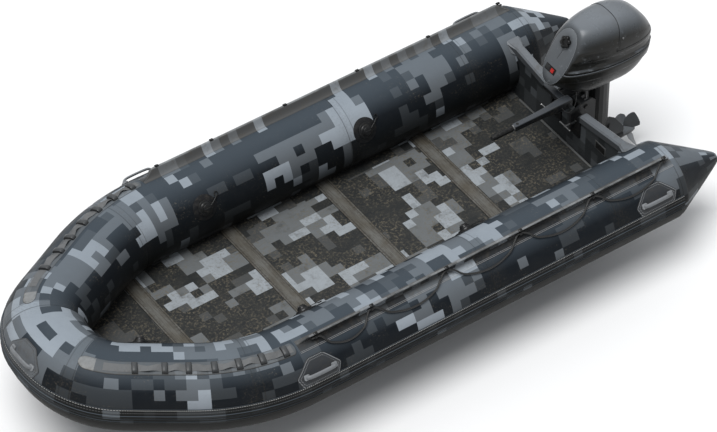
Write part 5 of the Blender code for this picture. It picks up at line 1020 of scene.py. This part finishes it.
def make_strap_patches():
    """The bow patches with their keepers, and the webbing that runs through them in loose waves."""
    start, end = PATCH_RUNS
    for name, side in SIDES.items():
        bm = bmesh.new()
        runs = stretches(side, (start, start + 0.05, end - 0.02, end), (0.006, 0.05, 0.005))
        strip(bm, runs, patch_outline, False)
        webbing(bm, side)
        for run in KEEPER_RUNS:
            keeper(bm, side, run)
        piece(bm, "patch_rubber keeper_rubber webbing", "patch", f"bow_strap_patch_{name}", "sewn")


def webbing(bm, side):
    """A flat strap under the keepers: it lies low under each and buckles up between them."""
    stops = [KEEPER_RUNS[0] - 0.16, *KEEPER_RUNS, KEEPER_RUNS[-1] + 0.05]
    rows = []
    places = []
    for n, (near, far) in enumerate(zip(stops, stops[1:])):
        loose = 1.0 if 0 < n < len(stops) - 2 else 0.15
        for i in range(10):
            share = i / 10
            run = near + (far - near) * share
            bulge = loose * sin(pi * share)
            height = 0.0050 + 0.0110 * bulge ** 2
            twist = 0.0075 * bulge * sin(2 * pi * share + n * 1.9)
            sway = 1.1 * bulge * sin(2 * pi * share + n * 2.3)
            row = []
            for across in (-1.0, -0.5, 0.0, 0.5, 1.0):
                angle = PATCH_MIDDLE + sway + (5.6 - 1.6 * bulge) * across
                row.append(on_tube(side * run, angle, height + twist * across))
            rows.append(row)
            places.append(run)
    grid(bm, rows, lambda i, j: (0.02 + j * 0.01, places[i]), index=2)


def keeper(bm, side, run):
    """A moulded loop over the strap, with a foot at each side and a rounded hood."""
    outline = mirrored(KEEPER_HALF, PATCH_MIDDLE)
    rows = []
    for offset, share in mirrored(KEEPER_END):
        at = side * (run + offset)
        rows.append([on_tube(at, angle, 0.003 + (height - 0.003) * share) for angle, height in outline])
    solid(bm, rows, 1)


# Carrying handles

HANDLE_PLACES = {"forward": -0.815, "aft": 1.605}
HANDLE_ANGLES = (14.0, 52.0)
# share of the way up, half width in metres
HANDLE_OUTLINE = (
    (0.0, 0.112), (0.04, 0.124), (0.36, 0.147), (0.41, 0.148), (0.46, 0.143), (0.90, 0.072), (0.96, 0.060),
    (1.0, 0.046),
)
HANDLE_SHARES = (0.0, 0.02, 0.05, 0.08, *(i / 20 for i in range(2, 19)), 0.93, 0.95, 0.97, 0.985, 1.0)
HANDLE_COLUMNS = (-1.0, -0.985, -0.95, -0.9, *(i / 10 for i in range(-8, 9)), 0.9, 0.95, 0.985, 1.0)
GRIP_ANGLE = 29.0
# place along and height of the grip's middle line
GRIP_END = ((-0.100, 0.004), (-0.097, 0.016), (-0.086, 0.026), (-0.070, 0.0300), (-0.040, 0.0315))
GRIP_MIDDLE = ((0.0, 0.0320),)
GRIP_RADIUS = 0.0125
FOOT_PLACE = 0.094
FOOT_RISE = 0.0085
FOOT_SIZE = (0.036, 0.034, 0.017)


def make_handle(name, middle, side):
    """A stitched patch on the tube, with a rubber grip between two pale moulded feet."""
    low, high = HANDLE_ANGLES
    reach = radians(high - low) * TUBE_RADIUS
    corners = [Vector((share * reach, wide)) for share, wide in HANDLE_OUTLINE]
    corners += [Vector((up, -wide)) for up, wide in corners[::-1]]

    def from_edge(spot):
        best = 1.0
        for near, far in zip(corners, corners[1:] + corners[:1]):
            span = far - near
            t = min(max((spot - near).dot(span) / span.length_squared, 0.0), 1.0)
            best = min(best, (spot - near - span * t).length)
        return best

    rows = []
    places = []
    for share in HANDLE_SHARES:
        angle = low + (high - low) * share
        wide = from_table(HANDLE_OUTLINE, share)
        row = []
        for column in HANDLE_COLUMNS:
            edge = from_edge(Vector((share * reach, wide * column)))
            height = 0.0009 + 0.0024 * smooth_step(edge / 0.004)
            row.append(on_tube(side * across_tube(middle, angle, wide * column), angle, height))
            places.append((edge, share * reach + wide * column))
        rows.append(row)
    bm = bmesh.new()
    grid(bm, rows, lambda i, j: places[i * len(HANDLE_COLUMNS) + j])
    path = []
    for along, height in mirrored(GRIP_END, between=GRIP_MIDDLE):
        path.append(on_tube(side * across_tube(middle, GRIP_ANGLE, along), GRIP_ANGLE, height))
    pipe(bm, rounded_route(path), GRIP_RADIUS, 16, 0.58, out_of_tube(side * middle, GRIP_ANGLE), 1)
    for sign in (-1, 1):
        at = across_tube(middle, GRIP_ANGLE, sign * FOOT_PLACE)
        along = on_tube(side * (at + 0.01), GRIP_ANGLE) - on_tube(side * (at - 0.01), GRIP_ANGLE)
        place = on_tube(side * at, GRIP_ANGLE, FOOT_RISE)
        block(bm, place, along, out_of_tube(side * at, GRIP_ANGLE), FOOT_SIZE, 0.006, 2)
    patch = "bow_handle_rubber" if name == "bow" else "handle_rubber"
    piece(bm, f"{patch} grip_rubber foot_rubber", "handle", f"carry_handle_{name}", "sewn")


def make_handles():
    make_handle("bow", 0.0, 1)
    for name, side in SIDES.items():
        for where, x in HANDLE_PLACES.items():
            make_handle(f"{name}_{where}", run_at(x), side)


# Inflation valves

VALVE_XS = {"forward": -0.634, "aft": 0.524}
VALVE_ANGLE = 150.0
VALVE_BOW_RUN = 0.56
CAP_RADIUS = 0.0262
# height and radius
VALVE_RING = (
    (0.002, 0.050), (0.010, 0.049), (0.0125, 0.045), (0.0128, 0.038), (0.016, 0.036), (0.019, 0.032),
    (0.0255, 0.0315), (0.0265, 0.030), (0.0265, 0.0205), (0.012, 0.020),
)
VALVE_SCREWS = 10
VALVE_SCREW_PLACE = (0.0125, 0.0435)
VALVE_SCREW = ((-0.002, 0.0026), (0.0012, 0.0026), (0.0018, 0.0018))
VALVE_CAP = (
    (-0.011, 0.0180), (-0.0003, 0.0185), (0.0, CAP_RADIUS), (0.0065, CAP_RADIUS), (0.0085, 0.0250),
    (0.0095, 0.0225), (0.0090, 0.012),
)
CAP_SEAT = 0.0271
CAP_RIBS = 24
CAP_RIB_SIZE = (0.006, 0.0028, 0.0016)
CAP_BAR_SIZE = (0.042, 0.0078, 0.0100)
BOOT = ((0.0065, 0.048), (0.0058, 0.056), (0.0046, 0.065), (0.0036, 0.074), (0.0022, 0.080), (0.0006, 0.0805))


def make_valves():
    """Each valve: a soft boot on the tube, a screwed ring, a tether with its loop, and the cap."""
    places = {"bow": -VALVE_BOW_RUN}
    for name, side in SIDES.items():
        for where, x in VALVE_XS.items():
            places[f"{name}_{where}"] = side * run_at(x)
    for name, run in places.items():
        out = out_of_tube(run, VALVE_ANGLE)
        base = on_tube(run, VALVE_ANGLE, 0.0005)
        bm = bmesh.new()
        boot(bm, run)
        lathe(bm, base, out, VALVE_RING, 40, 1, False)
        rise, reach = VALVE_SCREW_PLACE
        for away in spokes(out, VALVE_SCREWS):
            lathe(bm, base + out * rise + away * reach, out, VALVE_SCREW, 8, 1)
        tether(bm, run, base, out)
        piece(bm, "boot_black valve_black", "valve", f"valve_body_{name}", "turned")
        make_cap(f"valve_cap_{name}", base + out * CAP_SEAT, out)


def boot(bm, run):
    """A round rubber skirt glued to the skin, in shallow folds."""
    rows = []
    for height, radius in BOOT:
        row = []
        for turn in ring(48):
            fold = 0.0012 * sin(turn * 7 + radius * 120) * (0.4 if radius > 0.078 else 1.0)
            angle = VALVE_ANGLE + degrees(radius * sin(turn) / TUBE_RADIUS)
            at = across_tube(abs(run), angle, radius * cos(turn))
            row.append(on_tube(copysign(at, run), angle, max(height + fold, 0.0005)))
        rows.append(row)
    grid(bm, rows, lambda i, j: (i * 0.01, j / 48), True)


def tether(bm, run, base, out):
    """A flat strap from the ring to the skin, ending in a loop that the cap is tied with."""
    forward = (on_tube(run + 0.01, VALVE_ANGLE) - on_tube(run, VALVE_ANGLE)).normalized()
    end_run = run + copysign(0.095, run)
    near = on_tube(run + copysign(0.066, run), VALVE_ANGLE - 4.0, 0.014)
    points = [base + out * 0.014 + forward * 0.038, near, on_tube(end_run, VALVE_ANGLE - 9.0, 0.010)]
    pipe(bm, rounded_route(points, 6), 0.0045, 8, 0.4, out, 1)
    loop = []
    for turn in [*ring(16), 2 * pi]:
        at = end_run + copysign(0.011, run) * cos(turn)
        loop.append(on_tube(at, VALVE_ANGLE - 11.5 + 3.0 * sin(turn), 0.0085))
    pipe(bm, loop, 0.0030, 8, index=1, caps=False)


def make_cap(name, seat, out):
    """A screw cap with a ribbed rim and a bar across it."""
    bm = bmesh.new()
    lathe(bm, seat, out, VALVE_CAP, 40)
    along = out.cross(Z).normalized()
    for away in spokes(out, CAP_RIBS, along):
        block(bm, seat + out * 0.0035 + away * CAP_RADIUS, out, away, CAP_RIB_SIZE, 0.0005)
    block(bm, seat + out * 0.0125, along, out, CAP_BAR_SIZE, 0.0022)
    piece(bm, "valve_black", "valve_cap", name, "turned", name)


# Floor, transom and the pieces that keep their CAD mesh

JOINERS = ("stern", "aft", "middle", "forward")
# finish, softened edge, its segments and the least angle that it takes
CAD_FINISHES = {
    "bottom_skin": ("bottom_fabric",),
    "transom_board": ("transom_board_paint", 0.003),
    "powerhead": ("engine_grey", 0.004),
    "leg_housing": ("leg_black", 0.003, 2, 40.0),
    "gear_case": ("leg_black", 0.004, 3, 40.0),
    "swivel_bracket": ("bracket_black", 0.002),
    "clamp_bracket": ("bracket_black", 0.003, 3),
    "tilt_pin": ("knob_black", 0.0008),
    "drive_shaft": ("steel_bright",),
    "throttle_grip": ("knob_black", 0.0008),
    "stop_button": ("button_red", 0.0015, 3),
}
for joiner in JOINERS:
    CAD_FINISHES[f"floor_joiner_{joiner}"] = ("joiner_metal", 0.0012)
for panel in (*JOINERS, "bow"):
    CAD_FINISHES[f"floor_panel_{panel}"] = ("floor_boards",)
for hull_side in SIDES:
    CAD_FINISHES[f"transom_cap_{hull_side}"] = ("cap_grey", 0.005, 3, 25.0)
    CAD_FINISHES[f"clamp_screw_{hull_side}"] = ("steel_bright", 0.0008)


def paint_node(name, material, bevel=0.0, segments=2, angle=35.0):
    """Gives a CAD node its finish, and softens its edges."""
    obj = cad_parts[name]
    obj.data.materials.clear()
    obj.data.materials.append(paints[material])
    if bevel:
        modifier = obj.modifiers.new("softened", "BEVEL")
        modifier.width = bevel
        modifier.segments = segments
        modifier.limit_method = "ANGLE"
        modifier.angle_limit = radians(angle)
        modifier.harden_normals = False


# name: finishes, slot, body, and its blocks as (place, long direction, up, size, corner, finish)
FITTINGS = {
    "transom_foot_strip": (
        "strip_grey",
        "cap",
        "hull",
        (((TRANSOM_X - 0.0125, 0, 0.0045), Y, Z, (0.93, 0.014, 0.008), 0.003),),
    ),
    "transom_data_plate": (
        "strip_grey knob_black",
        "transom",
        "hull",
        (
            ((TRANSOM_X - 0.0020, -0.335, 0.212), Y, X, (0.105, 0.066, 0.0030), 0.001),
            ((TRANSOM_X - 0.0035, -0.335, 0.212), Y, X, (0.088, 0.050, 0.0024), 0.001, 1),
        ),
    ),
    "transom_motor_pads": (
        "boot_black",
        "transom",
        "hull",
        [((TRANSOM_X - 0.0045, y, 0.215), Z, X, (0.150, 0.085, 0.008), 0.003) for y in (-0.095, 0.095)],
    ),
    "swivel_web": (
        "bracket_black",
        "bracket",
        "swivel",
        (((TRANSOM_X + 0.098, 0, SEAT_HEIGHT - 0.020), X, Z, (0.048, 0.064, 0.124), 0.006),),
    ),
    "steering_bar_cast": (
        "arm_grey",
        "motor_black",
        "motor",
        (((TRANSOM_X - 0.085, 0.035, SEAT_HEIGHT + 0.146), Y, Z, (0.172, 0.050, 0.036), 0.007),),
    ),
}


def make_fittings():
    for name, (materials, slot, body, blocks) in FITTINGS.items():
        bm = bmesh.new()
        for place, *rest in blocks:
            block(bm, Vector(place), *rest)
        piece(bm, materials, slot, name, body=body)


# Cowl

LAST = len(COWL_SHARES) - 1
SPLIT_HALF = 0.0035
SEAL_REACH = 0.02
SEAL_DEPTH = 0.0075
SHELL_WALL = 0.003
COWL_STEPS = 54
COWL_STATIONS = (0.0, 0.04, 0.10, 0.2, *(i / 5 for i in range(2, 5 * LAST)), LAST - 0.1, LAST - 0.04, LAST)
ROLLED_EDGE = (-0.0045, -0.0022, -0.0008)


def motor(x, y, z):
    return Vector((TRANSOM_X + x, y, SEAT_HEIGHT + z))


def cowl_frame(t):
    """Foot, crown and half width at a place t along the sections, eased between them."""
    low = min(int(t), LAST - 1)
    share = t - low
    picks = [COWL_SHARES[min(max(low + i, 0), LAST)] for i in (-1, 0, 1, 2)]

    def eased(a, b, c, d):
        m0 = (c - a) / 2 if low > 0 else c - b
        m1 = (d - b) / 2 if low < LAST - 1 else c - b
        s2, s3 = share * share, share ** 3
        return (2 * s3 - 3 * s2 + 1) * b + (s3 - 2 * s2 + share) * m0 + (3 * s2 - 2 * s3) * c + (s3 - s2) * m1

    foot_x, foot_z, crown_x, crown_z, wide = (eased(*values) for values in zip(*picks))
    foot = motor(COWL_FRONT + COWL_LENGTH * foot_x, 0, COWL_BASE + COWL_HEIGHT * foot_z)
    crown = motor(COWL_FRONT + COWL_LENGTH * crown_x, 0, COWL_BASE + COWL_HEIGHT * crown_z)
    return foot, crown, COWL_HALF_WIDTH * wide


def squareness(t):
    """The sections are rounder at the front."""
    return COWL_SQUARENESS - 0.6 * (1 - smooth_step(t / 2.2))


def cowl_point(t, turn, grow=0.0):
    foot, crown, wide = cowl_frame(t)
    up = (crown - foot).normalized() * grow
    power = 2 / squareness(t)
    point = (foot - up).lerp(crown + up, 0.5 - 0.5 * signed_power(cos(turn), power))
    point.y = (wide + grow) * signed_power(sin(turn), power)
    return point


def level_turn(t, level):
    """The turn at which a section crosses a height, given as a share of the cowl's height."""
    foot, crown, _ = cowl_frame(t)
    rise = (SEAT_HEIGHT + COWL_BASE + COWL_HEIGHT * level - foot.z) / (crown.z - foot.z)
    return acos(signed_power(min(max(1 - 2 * rise, -1.0), 1.0), squareness(t) / 2))


def split_level(t, offset=0.0):
    front, rear = COWL_SPLIT_SHARES
    return front + (rear - front) * t / LAST + offset


def split_turn(t, offset=0.0):
    """The turn at which a section crosses the joint of the halves, or a line above it."""
    return level_turn(t, split_level(t, offset))


def swell(level, t):
    """Relief on the sides: a hollow band above the joint, a soft crease higher up, and a step below."""
    over = level - split_level(t)
    fade = smooth_step((t - 0.15) / 1.0)
    if over > 0:
        band = smooth_step((over - 0.030) / 0.012) * (1 - smooth_step((over - 0.135) / 0.022))
        crease = exp(-(((over - 0.27) / 0.030) ** 2))
        return fade * (-0.0115 * band + 0.0022 * crease)
    return -0.0095 * fade * smooth_step((-over - 0.115) / 0.014)


def make_cowl_half(name, upper):
    """One half of the cowl: a smooth shell with a rolled edge along the joint, and closed flat ends."""
    sign = 1 if upper else -1
    far = pi if upper else 0.0
    rows = []
    for t in COWL_STATIONS:
        inset = 0.0
        if t < 0.2:
            inset = -0.012 * (1 - t / 0.2) ** 2
        if t > LAST - 0.15:
            inset = -0.010 * (1 - (LAST - t) / 0.15) ** 2
        edge = split_turn(t, sign * SPLIT_HALF / COWL_HEIGHT)
        half = [edge + (far - edge) * (i / COWL_STEPS) ** 1.25 for i in range(COWL_STEPS + 1)]
        turns = half + [2 * far - turn for turn in half[-2::-1]]
        row = []
        for i, turn in enumerate(turns):
            level = (cowl_point(t, turn).z - SEAT_HEIGHT - COWL_BASE) / COWL_HEIGHT
            rolled = min(i, len(turns) - 1 - i)
            roll = ROLLED_EDGE[rolled] if rolled < len(ROLLED_EDGE) else 0.0
            row.append(cowl_point(t, turn, min(inset + swell(level, t) + roll, 0.0022)))
        rows.append(row)
    bm = bmesh.new()
    grid(bm, rows, ends=(True, True))
    shell = piece(bm, "cowl_satin", "cowl", name, "shell", "motor", 50.0)
    wall = shell.modifiers.new("wall", "SOLIDIFY")
    wall.thickness = SHELL_WALL
    wall.offset = -1.0


def make_cowl_seal():
    """The dark seal that lies in the joint on both sides."""
    bm = bmesh.new()
    stations = [i / 6 for i in range(2, 6 * LAST)]
    for side in SIDES.values():
        lines = []
        for level in (-SEAL_REACH, SEAL_REACH):
            lines.append([cowl_point(t, side * split_turn(t, level), -SEAL_DEPTH) for t in stations])
        grid(bm, lines)
    piece(bm, "knob_black", "cowl", "cowl_seal", body="motor")


PLATE_PROUD = 0.0015
PLATE_CROWN = 0.0002
# inset, and height over the plate's edge
PLATE_RINGS = (
    (-0.0035, -0.0055), (-0.0045, -PLATE_PROUD), (-0.0065, 0.0), (-0.05, PLATE_CROWN), (-0.09, PLATE_CROWN)
)
# place up the face, place across it, size and finish
PLATE_BLOCKS = ((0.235, 0.016, (0.094, 0.040, 0.0028), 2), (0.235, 0.040, (0.030, 0.028, 0.0060), 3))
PLATE_GROOVE = ((0.63, -0.004), (0.54, 0.004), (0.44, 0.010))
KNOB_SHARE = 0.765
KNOB_REACH = 0.041
KNOB_RINGS = (
    (0.0012, 0.84), (0.003, 0.93), (0.008, 1.0), (0.019, 1.0), (0.0235, 0.93), (0.0255, 0.80), (0.0255, 0.46),
    (0.0190, 0.38), (0.0185, 0.05),
)


def on_face(share, y, height=0.0):
    """A point on the cowl's flat front, and the directions up along it and out of it."""
    foot, crown, _ = cowl_frame(0)
    up = (crown - foot).normalized()
    out = Vector((-up.z, 0, up.x))
    return foot.lerp(crown, share) + Y * y + out * height, up, out


def make_front_plate():
    """A long panel over the cowl's front, with a pale rim as painted highlight, a faint groove and the
    button's surround.
    """
    out = on_face(0.5, 0.0)[2]
    turns = ring(72)
    bm = bmesh.new()
    rows = []
    for inset, height in PLATE_RINGS:
        rows.append([cowl_point(0, turn, inset) + out * (PLATE_PROUD + height) for turn in turns])
    grid(bm, rows, None, True, (False, True))
    rim = [cowl_point(0, turn, -0.0052) + out * PLATE_PROUD * 0.7 for turn in turns]
    # the pale rim: painted highlight
    pipe(bm, rim + rim[:1], 0.0008, 6, index=1, caps=False)
    pipe(bm, [on_face(share, y, PLATE_PROUD)[0] for share, y in PLATE_GROOVE], 0.0011, 6, index=2)
    for share, y, size, index in PLATE_BLOCKS:
        block(bm, on_face(share, y, PLATE_PROUD)[0], Y, out, size, 0.003, index)
    piece(bm, "cowl_plate worn_edge knob_black cowl_dark", "cowl", "cowl_front_plate", "", "motor", 50.0)


def make_knob():
    """The knob on the front, with six lobes and a hollow face."""
    place, up, out = on_face(KNOB_SHARE, 0.0, PLATE_PROUD)
    rows = []
    for height, shrink in KNOB_RINGS:
        row = []
        for turn in ring(72):
            hollow = 0.0125 * (1 - abs(cos(3 * turn)) ** 0.8) if shrink > 0.5 else 0.004
            away = up * cos(turn) + Y * sin(turn)
            row.append(place + out * height + (KNOB_REACH - hollow) * shrink * away)
        rows.append(row)
    bm = bmesh.new()
    solid(bm, rows)
    piece(bm, "knob_black", "knob", "front_knob", "lobed", "front_knob", 50.0)


PANEL_SPAN = (3.35, 6.25)
PANEL_EDGE_LEVEL = 0.20
PANEL_STEPS = 20
PANEL_SCREW = ((0.0, 0.0065), (0.0022, 0.0062), (0.0026, 0.0050), (0.0014, 0.0028))


def make_rear_panel():
    """The screwed cover over the cowl's rear top, with a rounded edge and a dark gap round it."""
    start, end = PANEL_SPAN
    stations = [start, start + 0.02, *spread(start + 0.06, end - 0.06, 0.12), end - 0.02, end]

    def over_top(t, share):
        low = split_turn(t, PANEL_EDGE_LEVEL)
        return low + (2 * pi - 2 * low) * share

    rows = []
    for t in stations:
        row = []
        for i in range(PANEL_STEPS + 1):
            share = i / PANEL_STEPS
            rim = min(3 * (t - start), 3 * (end - t), share * 6, (1 - share) * 6)
            height = 0.0006 + 0.0024 * smooth_step(rim / 0.25)
            row.append(cowl_point(t, over_top(t, share), height if rim > 0 else 0.0002))
        rows.append(row)
    bm = bmesh.new()
    grid(bm, rows)
    seam = [(t, over_top(t, 0.0)) for t in stations[::-1]]
    seam += [(start, over_top(start, i / 30)) for i in range(31)]
    seam += [(t, -over_top(t, 0.0)) for t in stations]
    pipe(bm, [cowl_point(t, turn, 0.0004) for t, turn in seam], 0.0021, 8, index=2)
    for t in (start + 0.22, end - 0.22):
        for share in (0.12, 0.88):
            turn = over_top(t, share)
            out = (cowl_point(t, turn, 0.01) - cowl_point(t, turn)).normalized()
            lathe(bm, cowl_point(t, turn, 0.003), out, PANEL_SCREW, 16, 1)
    piece(bm, "cowl_satin steel_bright knob_black", "cowl", "cowl_rear_panel", "cover", "motor", 50.0)


# Tiller and propeller

TILLER = (-0.085, -0.081, 0.150)
# distance ahead of the pivot, half width, half height, all in metres
TILLER_SECTIONS = (
    (-0.037, 0.0210, 0.0220),
    (-0.033, 0.0270, 0.0300),
    (0.0, 0.0300, 0.0350),
    (0.050, 0.0290, 0.0345),
    (0.100, 0.0255, 0.0295),
    (0.160, 0.0225, 0.0240),
    (0.250, 0.0205, 0.0215),
    (0.370, 0.0195, 0.0205),
    (0.3895, 0.0190, 0.0200),
)
TILLER_POWER = 0.32
# place from the pivot, direction, profile, sides and finish
TILLER_TURNED = (
    ((0, -0.0290, 0), -Y, ((0.0, 0.015), (0.0015, 0.015), (0.0020, 0.0135)), 24, 1),
    ((-0.362, 0, 0.0198), Z, ((0.0, 0.0085), (0.0028, 0.0085), (0.0036, 0.0070)), 16, 1),
    ((-0.3885, 0, 0), -X, ((0.0, 0.0196), (0.0006, 0.0206), (0.0092, 0.0206), (0.0098, 0.0196)), 28, 2),
)


def make_tiller():
    """The tapered cast arm, with its pivot bolt, a small shift button near the grip and a steel collar."""
    pivot = motor(*TILLER)
    bm = bmesh.new()
    rows = []
    for ahead, wide, high in TILLER_SECTIONS:
        row = []
        for a in ring(24):
            y, z = wide * signed_power(cos(a), TILLER_POWER), high * signed_power(sin(a), TILLER_POWER)
            row.append(pivot + Vector((-ahead, y, z)))
        rows.append(row)
    solid(bm, rows)
    for place, out, profile, sides, index in TILLER_TURNED:
        lathe(bm, pivot + Vector(place), out, profile, sides, index)
    piece(bm, "arm_grey knob_black steel_bright", "tiller", "tiller_arm", "cast", "tiller", 45.0)


GEAR_AXIS = -0.440
PROP_FRONT = 0.4262
PROP_LENGTH = 0.095
PROP_RADIUS = 0.155
HUB_RADIUS = 0.036
BLADES = 3
BLADE_TURN = radians(66.0)
BLADE_PITCH = radians(32.0)
HUB_SHARES = ((0.75, 0.92), (1.0, 0.72))
# share of the radius, chord and sweep as shares of the radius
BLADE_SECTIONS = (
    (0.18, 0.40, 0.00), (0.35, 0.60, 0.00), (0.55, 0.66, -0.02), (0.74, 0.56, -0.07), (0.88, 0.36, -0.13),
    (0.96, 0.18, -0.18), (1.0, 0.03, -0.21),
)
BLADE_SHAPE = ((-1, 0), (-0.6, 0.8), (0, 1), (0.6, 0.7), (1, 0), (0.6, -0.7), (0, -1), (-0.6, -0.8))


def make_propeller():
    """Three swept blades with pointed tips, over the hub of the CAD piece."""
    start = motor(PROP_FRONT, 0, GEAR_AXIS)
    profile = [(-0.055, 0.008), (0.0, 0.008), (0.0, HUB_RADIUS * 0.97), (0.004, HUB_RADIUS)]
    profile += [(PROP_LENGTH * along, HUB_RADIUS * wide) for along, wide in HUB_SHARES]
    bm = bmesh.new()
    lathe(bm, start, X, profile, 36)
    for turn in ring(BLADES):
        out = Vector((0, -cos(BLADE_TURN + turn), sin(BLADE_TURN + turn)))
        rows = []
        for reach, chord, sweep in BLADE_SECTIONS:
            pitch = atan2(tan(BLADE_PITCH) * 0.7, max(reach, 0.3))
            along = X * sin(pitch) + X.cross(out) * cos(pitch)
            thick = along.cross(out) * 0.0025 * (1.35 - reach)
            middle = start + X * (PROP_LENGTH * 0.45)
            middle += PROP_RADIUS * ((X * 0.30 + out) * reach + along * sweep)
            half = along * PROP_RADIUS * chord / 2
            rows.append([middle + half * a + thick * b for a, b in BLADE_SHAPE])
        solid(bm, rows)
    piece(bm, "prop_grey", "propeller", "propeller", "cast", "propeller", 50.0)


# Ground and light

GROUND_LEVEL = -0.325
GROUND_SIZE = 40.0
SKY_STRENGTH = 0.42
# name, strength, width in degrees, direction towards it
LAMPS = (("key", 2.7, 35.0, (-0.30, -0.15, 1.0)), ("rim", 0.4, 60.0, (0.6, 0.8, 0.9)))


def make_stage():
    ground = bmesh.new()
    bmesh.ops.create_grid(ground, x_segments=1, y_segments=1, size=GROUND_SIZE)
    mesh = bpy.data.meshes.new("ground")
    ground.to_mesh(mesh)
    ground.free()
    pale = Shade("ground_pale", 0.9)
    pale.put(pale.shader, {"Base Color": (0.86, 0.86, 0.86, 1.0)})
    mesh.materials.append(paints["ground_pale"])
    obj = link("ground", mesh)
    obj.location = (0, 0, GROUND_LEVEL)
    world = bpy.data.worlds.new("sky")
    bpy.context.scene.world = world
    world.use_nodes = True
    sky = world.node_tree.nodes["Background"]
    sky.inputs["Color"].default_value = (0.93, 0.96, 1.0, 1.0)
    sky.inputs["Strength"].default_value = SKY_STRENGTH
    for name, strength, angle, toward in LAMPS:
        data = bpy.data.lights.new(name, "SUN")
        data.energy = strength
        data.angle = radians(angle)
        lamp = link(name, data)
        lamp.rotation_euler = Vector(toward).to_track_quat("Z", "Y").to_euler()


# The whole part

make_camera()
make_paints()
make_cords()
make_tubes()
make_rails()
make_strake()
make_strap_patches()
make_handles()
make_valves()
for node_name, finish_of_node in CAD_FINISHES.items():
    paint_node(node_name, *finish_of_node)
make_fittings()
make_cowl_half("cowl_upper", True)
make_cowl_half("cowl_lower", False)
make_cowl_seal()
make_front_plate()
make_knob()
make_rear_panel()
make_tiller()
make_propeller()
make_stage()
bpy.context.scene.view_settings.view_transform = "Standard"
